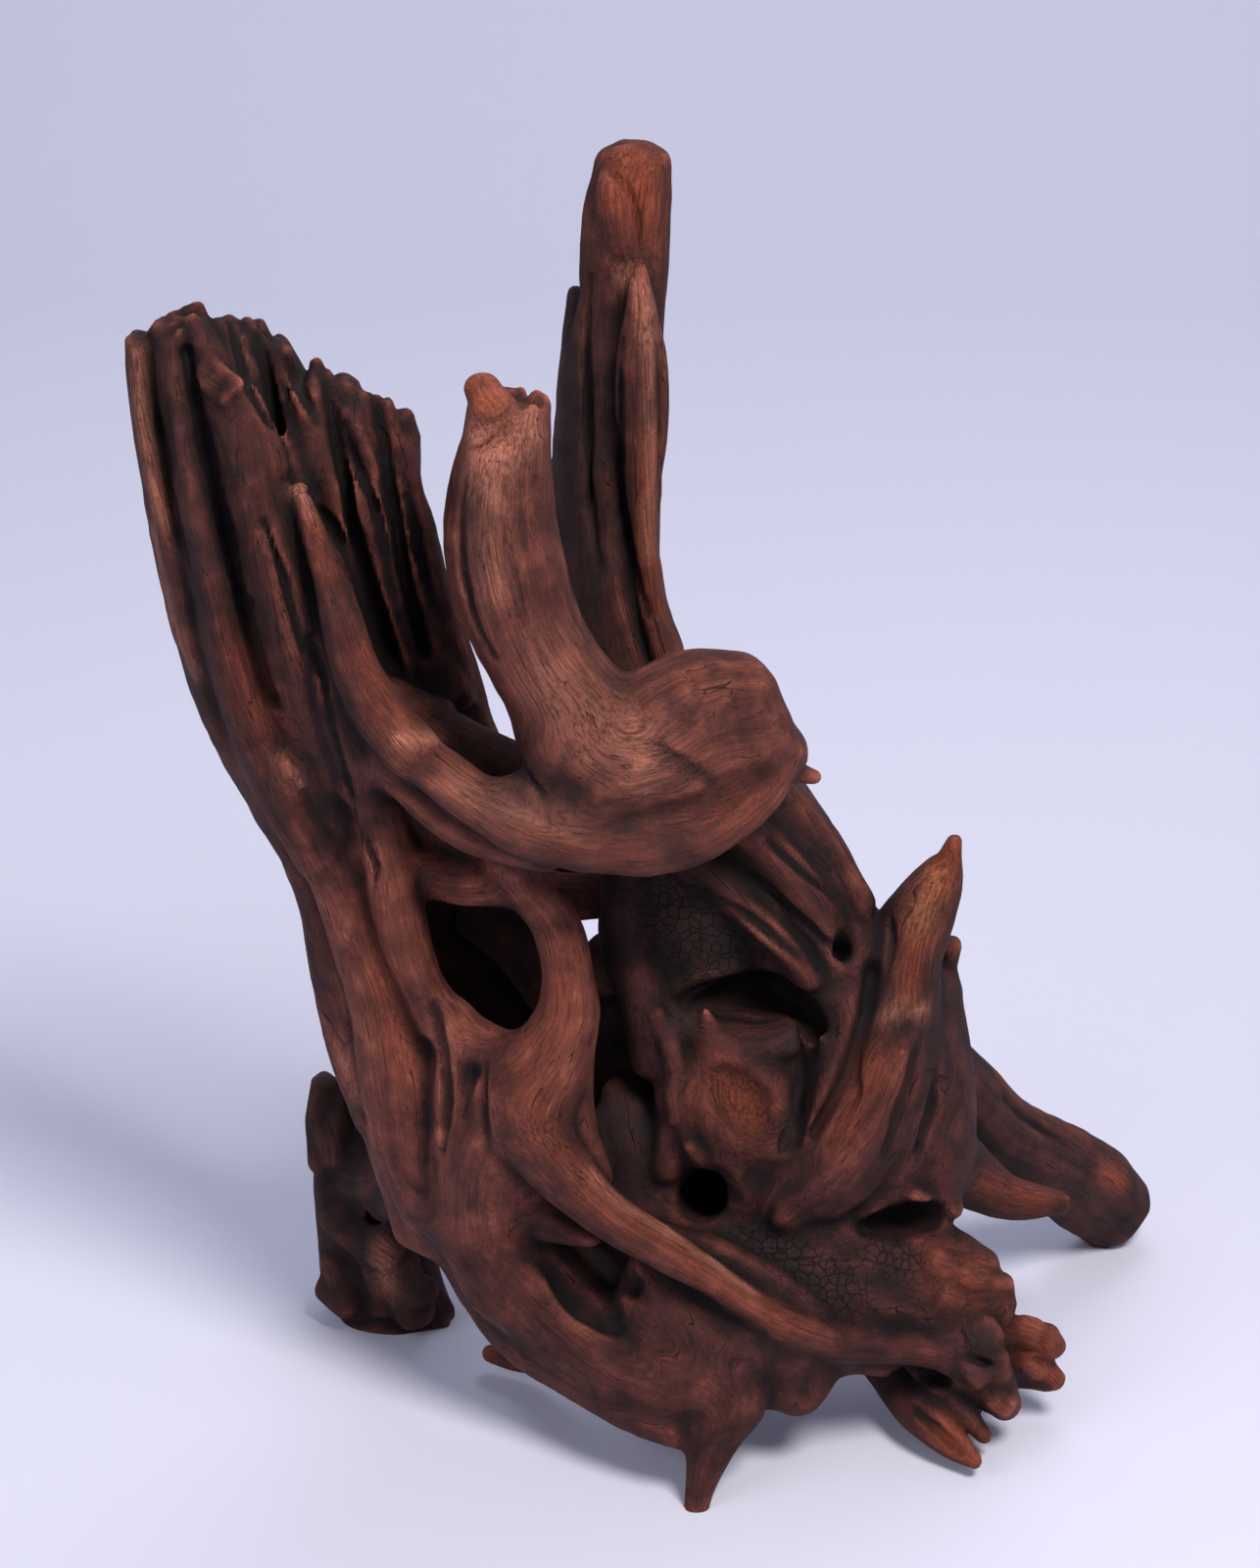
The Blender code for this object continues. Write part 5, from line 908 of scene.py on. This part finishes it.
def survey(points, cells, limbs, hollows):
    """The depth of each point below the wood's skin, and its grain coordinates, tone and roughness."""
    depth = np.full(len(points), REACH)
    weights = np.full(len(points), TINY)
    sums = np.zeros((len(points), ROUGH + 1))
    for limb in limbs:
        rows, sample = limb.sample_at(cells)
        outside, grain = limb.depth(points[rows], sample)
        depth[rows] = soft_min(depth[rows], outside, limb.blend)
        weight = np.exp(-outside / GRAIN_BLEND)
        weights[rows] += weight
        look = np.column_stack([grain, np.full((len(rows), 2), (limb.tone, limb.rough))])
        sums[rows] += look * weight[:, None]
    for hollow in hollows:
        rows, sample = hollow.sample_at(cells)
        outside, _ = hollow.depth(points[rows], sample)
        depth[rows] = soft_cut(depth[rows], outside, hollow.blend)
    return depth, sums / weights[:, None]


def along(course):
    """The places along a course of (right, up), COURSE_STEP apart."""
    course = np.array(course, float)
    if len(course) == 1:
        return course
    run = np.concatenate([[0], np.cumsum(np.hypot(*np.diff(course, axis=0).T))])
    at = np.linspace(0, run[-1], max(2, int(round(run[-1] / COURSE_STEP)) + 1))
    return np.stack([np.interp(at, run, course[:, n]) for n in (0, 1)], axis=1)


def on_surface(grid, course):
    """The places where the sight lines through a course first meet the wood, as (right, up, back)."""
    backs = np.arange(*SIGHT_RUN)
    places = []
    for right, up in along(course):
        points, _ = seen(right, up, backs[:, None])
        inside = np.nonzero(grid.at(points) < 0)[0]
        if len(inside):
            places.append((right, up, backs[inside[0]]))
    return places


def cracks_of(grid):
    """The cracks and dents as hollows that are widest in the middle of their run."""
    rows = []
    for wide, deep, course in CRACKS:
        places = np.array(on_surface(grid, course))
        padded = np.pad(places[:, 2], len(EVEN_OUT) // 2, mode="edge")
        places[:, 2] = np.convolve(padded, EVEN_OUT, mode="valid")
        swell = np.sin(np.linspace(CRACK_END, math.pi - CRACK_END, len(places)))
        stations = [(*place, wide * s, deep * s) for place, s in zip(places, swell)]
        rows.append(Limb(*stations, blend=CRACK_BLEND * wide))
    return rows


def knobs_of(grid):
    """The small ridges, plates and knobs that stand on the surface."""
    rows = []
    for wide, deep, tone, course in KNOBS:
        stations = [(*place, wide, deep) for place in on_surface(grid, course)]
        knob = Limb(*stations, blend=KNOB_BLEND)
        knob.tone = tone
        rows.append(knob)
    return rows


def relief(points, look):
    """How far the grain and the lumps push the skin in, in millimetres."""
    push = sum(height * noise(points / size) for height, size in LUMPS)
    for height, across, along, shift in RIDGES:
        push += look[:, ROUGH] * height * noise(look[:, GRAIN] / (across, across, along) + shift)
    return push


def fine_field(grid, limbs, hollows):
    """The field on the fine grid: exact in a band round the skin, and only in or out elsewhere."""
    fine = grid.field
    for axis in range(3):
        fine = np.repeat(fine, SPLIT, axis=axis)
    fine = np.where(fine < 0, -REACH, REACH)
    cells = np.stack(np.nonzero(np.abs(grid.field) < BAND), axis=1)
    for start in range(0, len(cells), CELLS_AT_ONCE):
        some = cells[start:start + CELLS_AT_ONCE]
        for x in range(SPLIT):
            for y in range(SPLIT):
                for z in range(SPLIT):
                    index = some * SPLIT + (x, y, z)
                    points = grid.low + index * FINE_CELL
                    depth, look = survey(points, some, limbs, hollows)
                    near = np.abs(depth) < RELIEF_REACH
                    depth[near] += relief(points[near], look[near])
                    fine[tuple(index.T)] = depth
    for axis in range(3):
        fine += SOFTENING * (np.roll(fine, 1, axis) + np.roll(fine, -1, axis) - 2 * fine)
    return fine


def is_even(order):
    """Whether an ordering of four corners keeps the tetrahedron's handedness."""
    swaps = sum(order[a] > order[b] for a in range(4) for b in range(a + 1, 4))
    return swaps % 2 == 0


def faces_of(inside):
    """The corner pairs whose edges make each face of the skin, for the corners of a tetrahedron inside it."""
    order = [n for n in range(4) if inside[n]] + [n for n in range(4) if not inside[n]]
    if not is_even(order):
        if sum(inside) == 1:
            order = [order[0], order[2], order[1], order[3]]
        else:
            order = [order[1], order[0], order[2], order[3]]
    a, b, c, d = order
    if sum(inside) == 1:
        return [((a, b), (a, c), (a, d))]
    if sum(inside) == 2:
        return [((a, c), (a, d), (b, d)), ((a, c), (b, d), (b, c))]
    return [((d, a), (d, b), (d, c))]


def skin(field):
    """The points and triangles of the closed skin where the field is zero, in cells from its first corner."""
    shape = np.array(field.shape)
    strides = np.array([shape[1] * shape[2], shape[2], 1])
    flat = field.ravel()
    wet = field < 0
    corners = [wet[x:shape[0] - 1 + x, y:shape[1] - 1 + y, z:shape[2] - 1 + z] for x, y, z in CORNERS]
    count = np.sum(corners, axis=0, dtype=np.int8)
    cells = np.stack(np.nonzero((count > 0) & (count < len(CORNERS))), axis=1) @ strides
    steps = CORNERS @ strides
    faces = []
    for tetrahedron in TETRAHEDRA:
        inside = np.stack([flat[cells + steps[corner]] < 0 for corner in tetrahedron])
        case = CORNER_BITS @ inside
        for number in range(1, sum(CORNER_BITS)):
            here = cells[case == number]
            for face in faces_of([bool(number & bit) for bit in CORNER_BITS]):
                pairs = [sorted((tetrahedron[a], tetrahedron[b])) for a, b in face]
                faces.append(np.stack([(here + steps[a]) * len(CORNERS) + (b - a) for a, b in pairs], axis=1))
    edges, triangles = np.unique(np.concatenate(faces), return_inverse=True)
    start, way = divmod(edges, len(CORNERS))
    first = flat[start]
    share = np.clip(first / (first - flat[start + steps[way]]), EDGE_MARGIN, 1 - EDGE_MARGIN)
    place = np.stack(np.unravel_index(start, field.shape), axis=1) + share[:, None] * CORNERS[way]
    return place, triangles.reshape(-1, 3)


def keep_largest(mesh):
    """Keeps the one outer skin."""
    left = set(mesh.verts)
    shells = []
    while left:
        shell = {left.pop()}
        edge = list(shell)
        while edge:
            near = {link.other_vert(vert) for vert in edge for link in vert.link_edges}
            edge = list(near - shell)
            shell.update(edge)
        left -= shell
        shells.append(shell)
    shells.sort(key=len)
    spare = [vert for shell in shells[:-1] for vert in shell]
    bmesh.ops.delete(mesh, geom=spare, context="VERTS")


def cut_feet(mesh):
    """Cuts the three feet flat at the floor."""
    everything = mesh.verts[:] + mesh.edges[:] + mesh.faces[:]
    floor = bmesh.ops.bisect_plane(
        mesh, geom=everything, dist=TINY, plane_co=(0, 0, 0), plane_no=(0, 0, 1), clear_inner=True)
    rim = [edge for edge in floor["geom_cut"] if isinstance(edge, bmesh.types.BMEdge)]
    bmesh.ops.holes_fill(mesh, edges=rim)
    bmesh.ops.triangulate(mesh, faces=[face for face in mesh.faces if len(face.verts) > 3])


def mesh_of(points, triangles):
    """The points and triangles as a Blender mesh."""
    data = bpy.data.meshes.new("wood")
    data.vertices.add(len(points))
    data.vertices.foreach_set("co", points.astype(np.float32).ravel())
    data.loops.add(triangles.size)
    data.loops.foreach_set("vertex_index", triangles.astype(np.int32).ravel())
    data.polygons.add(len(triangles))
    data.polygons.foreach_set("loop_start", np.arange(0, triangles.size, 3, dtype=np.int32))
    data.update(calc_edges=True)
    return data


def make_mesh(grid, limbs, hollows):
    """The wood's finished mesh, thinned to the triangles that its form needs."""
    place, triangles = skin(fine_field(grid, limbs, hollows))
    wood = bpy.data.objects.new("wood", mesh_of((grid.low + place * FINE_CELL - MIDDLE) * MM, triangles))
    bpy.context.scene.collection.objects.link(wood)
    modifier = wood.modifiers.new("thin out", "DECIMATE")
    modifier.ratio = TRIANGLES / len(triangles)
    mesh = bmesh.new()
    mesh.from_object(wood, bpy.context.evaluated_depsgraph_get())
    wood.modifiers.remove(modifier)
    keep_largest(mesh)
    cut_feet(mesh)
    mesh.to_mesh(wood.data)
    mesh.free()
    wood.data.shade_smooth()
    return wood


def near_course(points, places, radius):
    """How near each point is to a course through the places: 1 on it, fading to 0 past the radius."""
    best = np.full(len(points), np.inf)
    for start, end in zip(places, places[1:] if len(places) > 1 else places):
        run = end - start
        share = np.clip((points - start) @ run / (run @ run + TINY), 0, 1)
        best = np.minimum(best, np.linalg.norm(points - start - share[:, None] * run, axis=1))
    return np.exp(-(best / radius)**2)


def curvature(data, points, normals):
    """How much each vertex stands out of its neighbours: above zero on ridges, below it in creases."""
    edges = np.empty(len(data.edges) * 2, np.int32)
    data.edges.foreach_get("vertices", edges)
    a, b = edges.reshape(-1, 2).T
    total = np.zeros(len(points))
    count = np.zeros(len(points))
    way = points[b] - points[a]
    length = np.linalg.norm(way, axis=1) + TINY
    np.add.at(total, a, -(way * normals[a]).sum(axis=1) / length)
    np.add.at(total, b, (way * normals[b]).sum(axis=1) / length)
    np.add.at(count, a, 1)
    np.add.at(count, b, 1)
    value = total / np.maximum(count, 1)
    for _ in range(CURVATURE_PASSES):
        sums = np.zeros(len(points))
        np.add.at(sums, a, value[b])
        np.add.at(sums, b, value[a])
        value = (value + sums / np.maximum(count, 1)) / 2
    return value


def vectors_of(items, name):
    """One vector of each item of a mesh, as rows."""
    values = np.empty(len(items) * 3, np.float32)
    items.foreach_get(name, values)
    return values.reshape(-1, 3).astype(float)


def store(data, name, kind, values):
    """Keeps a number or a vector for each vertex, for the material to read."""
    attribute = data.attributes.new(name, kind, "POINT")
    field = {"FLOAT": "value", "FLOAT_VECTOR": "vector"}[kind]
    attribute.data.foreach_set(field, values.astype(np.float32).ravel())


def painted_crevice_shade(grid, points, normals):
    """How enclosed each point is, 0 in the open and 1 deep in a crevice, for the painted shade there."""
    open_air = [np.clip(grid.at(points + normals * reach) / reach, 0, 1) for reach in CREVICE_SHADE_REACHES]
    return 1 - np.mean(open_air, axis=0)


def paint(wood, grid, limbs):
    """Gives each vertex its grain, tone, stained places and painted shade, and roughens the torn grain."""
    data = wood.data
    points = vectors_of(data.vertices, "co") / MM + MIDDLE
    normals = vectors_of(data.vertices, "normal")
    _, look = survey(points, grid.nearest(points), limbs, [])
    # Stained places, and the painted shade that the dark marks lay in hollows, folds and under overhangs.
    stains_and_shade = {kind: np.zeros(len(points)) for kind in STAIN_AND_SHADE_KINDS}
    for kind, strength, radius, course in STAINS_AND_SHADE:
        places = [seen(*place)[0] for place in on_surface(grid, course)]
        patch = strength * near_course(points, places, radius)
        stains_and_shade[kind] = 1 - (1 - stains_and_shade[kind]) * (1 - patch)
    store(data, "grain", "FLOAT_VECTOR", look[:, GRAIN])
    store(data, "tone", "FLOAT", look[:, TONE])
    for kind, values in stains_and_shade.items():
        store(data, kind, "FLOAT", values)
    # Curvature: worn ridges lighter, painted shade in creases. Enclosure: painted shade in crevices.
    store(data, "edge", "FLOAT", curvature(data, points, normals))
    store(data, "painted_crevice_shade", "FLOAT", painted_crevice_shade(grid, points, normals))
    rough = sum(noise(points / size) for size in TORN_SIZES)
    points += normals * (TORN_DEPTH * np.maximum(stains_and_shade["torn"], stains_and_shade["gold"]) * rough)[:, None]
    points[:, 2] = np.maximum(points[:, 2], 0)
    data.vertices.foreach_set("co", ((points - MIDDLE) * MM).astype(np.float32).ravel())
    data.update()


class Graph:
    """A material's nodes, made and linked in one call each."""

    def __init__(self, name):
        self.material = bpy.data.materials.new(name)
        self.material.use_nodes = True
        self.tree = self.material.node_tree
        self.shader = self.tree.nodes["Principled BSDF"]

    def link(self, socket, value):
        """Links another node's output to the socket, or sets the socket's value."""
        if isinstance(value, bpy.types.NodeSocket):
            self.tree.links.new(value, socket)
        else:
            socket.default_value = value

    def node(self, kind, inputs=(), out=0, **settings):
        """Adds a node with its settings and inputs, and gives its output."""
        node = self.tree.nodes.new(kind)
        for name, value in settings.items():
            setattr(node, name, value)
        for name, value in dict(inputs).items():
            self.link(node.inputs[name], value)
        return node.outputs[out]

    def attribute(self, name, out="Fac"):
        return self.node("ShaderNodeAttribute", attribute_name=name, out=out)

    def maths(self, operation, a, b=0.0, clamp=False):
        return self.node("ShaderNodeMath", {0: a, 1: b}, operation=operation, use_clamp=clamp)

    def add(self, total, value, share, middle=0.0):
        """The total plus a share of how far the value lies above its middle."""
        return self.maths("ADD", total, self.maths("MULTIPLY", self.maths("SUBTRACT", value, middle), share))

    def spread(self, value, low, high, to_low=0.0, to_high=1.0):
        """The value, spread from between low and high to between the new ends."""
        return self.node("ShaderNodeMapRange", {"Value": value, "From Min": low, "From Max": high,
                                                "To Min": to_low, "To Max": to_high})

    def scaled(self, vector, scale):
        return self.node("ShaderNodeMapping", {"Vector": vector, "Scale": scale})

    def noise(self, vector, layer):
        """A noise from its scale, detail and roughness."""
        scale, detail, roughness = layer
        return self.node("ShaderNodeTexNoise", {"Vector": self.scaled(vector, scale), "Scale": 1.0,
                                                "Detail": detail, "Roughness": roughness})

    def mix(self, share, a, b):
        """The first colour with a share of the second one laid over it."""
        node = self.tree.nodes.new("ShaderNodeMix")
        node.data_type = "RGBA"
        named = {socket.identifier: socket for socket in node.inputs}
        self.link(named["Factor_Float"], share)
        self.link(named["A_Color"], a)
        self.link(named["B_Color"], b)
        return next(socket for socket in node.outputs if socket.identifier == "Result_Color")

    def ramp(self, value, stops):
        """The colour that the value has between the stops of (value, colour)."""
        node = self.tree.nodes.new("ShaderNodeValToRGB")
        elements = node.color_ramp.elements
        for position, _ in stops[1:-1]:
            elements.new(position)
        for element, (position, colour) in zip(elements, stops):
            element.position = position
            element.color = (*colour, 1.0)
        self.link(node.inputs[0], value)
        return node.outputs[0]

    def bump(self, height, relief, below=None, invert=False):
        """The skin's normal with a fine relief on top of the one below."""
        distance, strength = relief
        inputs = {"Height": height, "Distance": distance, "Strength": strength}
        if below:
            inputs["Normal"] = below
        return self.node("ShaderNodeBump", inputs, invert=invert)


def wood_material():
    """Weathered wood: grain, bands and mottling, worn edges, painted shade in creases, fresh breaks and
    charring.
    """
    graph = Graph("weathered_wood")
    grain = graph.attribute("grain", out="Vector")
    place = graph.scaled(graph.node("ShaderNodeTexCoord", out="Object"), (1 / MM,) * 3)
    fibres = graph.noise(grain, FIBRES)
    hairs = graph.noise(grain, HAIRS)
    bands = graph.noise(grain, BANDS)
    mottle = graph.noise(place, MOTTLE)
    specks = graph.noise(place, SPECKS)

    # The fine checks are lines along the grain, where one noise crosses its middle.
    off_middle = graph.maths("ABSOLUTE", graph.maths("SUBTRACT", graph.noise(grain, CHECKS), NOISE_MIDDLE))
    line = graph.spread(off_middle, 0.0, CHECK_WIDTH, 1.0, 0.0)
    line = graph.maths("MULTIPLY", line, graph.spread(bands, *CHECKED_BANDS))

    # The tone of the wood itself, with worn ridges lighter and painted shade in creases and crevices.
    tone = graph.attribute("tone")
    for value, share in ((fibres, FIBRE_SHARE), (bands, BAND_SHARE), (mottle, MOTTLE_SHARE),
                         (hairs, HAIR_SHARE), (specks, SPECK_SHARE)):
        tone = graph.add(tone, value, share, middle=NOISE_MIDDLE)
    # The curvature: worn ridges lighter, and painted shade in creases.
    tone = graph.add(tone, graph.attribute("edge"), WEAR_AND_CREASE_SHADE_SHARE)
    # The enclosure: painted shade in crevices.
    tone = graph.add(tone, graph.attribute("painted_crevice_shade"), -CREVICE_SHADE_SHARE)
    tone = graph.add(tone, line, -CHECK_SHARE)
    colour = graph.ramp(tone, WOOD_COLOURS)

    # Torn, rusty and golden breaks, patchy where the specks are.
    patchy = graph.spread(specks, *BREAK_SPECKS, BREAK_LEAST, 1.0)
    for kind, dark, light in BREAK_COLOURS:
        share = graph.maths("MULTIPLY", graph.attribute(kind), patchy, clamp=True)
        colour = graph.mix(share, colour, graph.ramp(fibres, tuple(zip(BREAK_FIBRES, (dark, light)))))

    # Charring and painted shade in hollows, and skin that has split into small plates.
    char_and_shade_cover = graph.maths("MULTIPLY", graph.attribute("char_and_shade"), CHAR_AND_SHADE_SHARE)
    colour = graph.mix(char_and_shade_cover, colour, graph.ramp(mottle, CHAR_AND_SHADE_COLOURS))
    plates = graph.node("ShaderNodeTexVoronoi", {"Vector": place, "Scale": PLATE_SCALE},
                        feature="DISTANCE_TO_EDGE")
    gaps = graph.spread(plates, 0.0, PLATE_SPLIT, 1.0, 0.0)
    gaps = graph.maths("MULTIPLY", gaps, graph.attribute("crackle"))
    colour = graph.mix(graph.maths("MULTIPLY", gaps, SPLIT_SHARE), colour, SPLIT_COLOUR)

    graph.link(graph.shader.inputs["Base Color"], colour)
    graph.link(graph.shader.inputs["Roughness"], graph.spread(fibres, 0.0, 1.0, *ROUGHNESS))
    graph.shader.inputs["Specular IOR Level"].default_value = SPECULAR
    normal = graph.bump(hairs, HAIR_RELIEF)
    normal = graph.bump(fibres, FIBRE_RELIEF, below=normal)
    normal = graph.bump(specks, SPECK_RELIEF, below=normal)
    normal = graph.bump(graph.maths("MAXIMUM", gaps, line), SPLIT_RELIEF, below=normal, invert=True)
    graph.link(graph.shader.inputs["Normal"], normal)
    return graph.material


def plain_material(name, colour, roughness):
    """A material of one colour."""
    graph = Graph(name)
    graph.shader.inputs["Base Color"].default_value = (*colour, 1.0)
    graph.shader.inputs["Roughness"].default_value = roughness
    return graph.material


def make_wood():
    """The wood as one finer mesh, with its grain, stained places, painted shade and material."""
    limbs = []
    for group, tone, rough in GROUPS:
        for limb in group:
            limb.tone = tone
            limb.rough = rough
        limbs += group
    grid = Grid(limbs)
    for limb in limbs:
        grid.lay(limb, soft_min)
    for hollow in HOLLOWS:
        grid.lay(hollow, soft_cut)
    knobs = knobs_of(grid)
    cracks = cracks_of(grid)
    for knob in knobs:
        grid.lay(knob, soft_min)
    for crack in cracks:
        grid.lay(crack, soft_cut)
    wood = make_mesh(grid, limbs + knobs, HOLLOWS + cracks)
    paint(wood, grid, limbs + knobs)
    wood.data.materials.append(wood_material())
    return wood


def make_floor():
    """A pale floor that sweeps up behind the wood."""
    mesh = bmesh.new()
    profile = [(FLOOR_FRONT, 0.0), (FLOOR_BACK, 0.0)]
    for n in range(1, SWEEP_STEPS + 1):
        angle = math.pi / 2 * n / SWEEP_STEPS
        profile.append((FLOOR_BACK + SWEEP_RADIUS * math.sin(angle), SWEEP_RADIUS * (1 - math.cos(angle))))
    profile.append((FLOOR_BACK + SWEEP_RADIUS, WALL_TOP))
    sides = (-FLOOR_HALF_WIDTH, FLOOR_HALF_WIDTH)
    rows = [[mesh.verts.new((side, y, z)) for side in sides] for y, z in profile]
    for (a, b), (c, d) in zip(rows, rows[1:]):
        mesh.faces.new((a, b, d, c))
    data = bpy.data.meshes.new("floor")
    mesh.to_mesh(data)
    mesh.free()
    data.shade_smooth()
    data.materials.append(plain_material("pale_cloth", FLOOR_COLOUR, FLOOR_ROUGHNESS))
    floor = bpy.data.objects.new("floor", data)
    bpy.context.scene.collection.objects.link(floor)
    return floor


def aim(thing, target):
    """Turns a lamp or a camera to look at a point."""
    thing.rotation_euler = (target - thing.location).to_track_quat("-Z", "Y").to_euler()


def add_light(name, place, size, power, colour):
    """A round soft lamp that looks at the wood."""
    light = bpy.data.lights.new(name, "AREA")
    light.shape = "DISK"
    light.size = size
    light.energy = power
    light.color = colour
    lamp = bpy.data.objects.new(name, light)
    lamp.location = place
    aim(lamp, LIGHT_AIM)
    bpy.context.scene.collection.objects.link(lamp)


def light_room():
    """Even soft light from all round."""
    world = bpy.data.worlds.new("room")
    world.use_nodes = True
    background = world.node_tree.nodes["Background"]
    background.inputs["Color"].default_value = (*ROOM_COLOUR, 1.0)
    background.inputs["Strength"].default_value = ROOM_LIGHT
    bpy.context.scene.world = world
    bpy.context.scene.view_settings.view_transform = "Standard"


def make_camera():
    """A camera at the photograph's viewing angle."""
    camera = bpy.data.cameras.new("camera")
    camera.sensor_width = SENSOR
    camera.lens = SENSOR * VIEW_DISTANCE / VIEW_HEIGHT
    seat = bpy.data.objects.new("camera", camera)
    seat.location = (EYE - MIDDLE) * MM
    aim(seat, Vector((VIEW_CENTRE - MIDDLE) * MM))
    bpy.context.scene.collection.objects.link(seat)
    bpy.context.scene.camera = seat


wood = make_wood()
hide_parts("driftwood")
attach(wood, "root")
make_floor()
for settings in LIGHTS:
    add_light(*settings)
light_room()
make_camera()
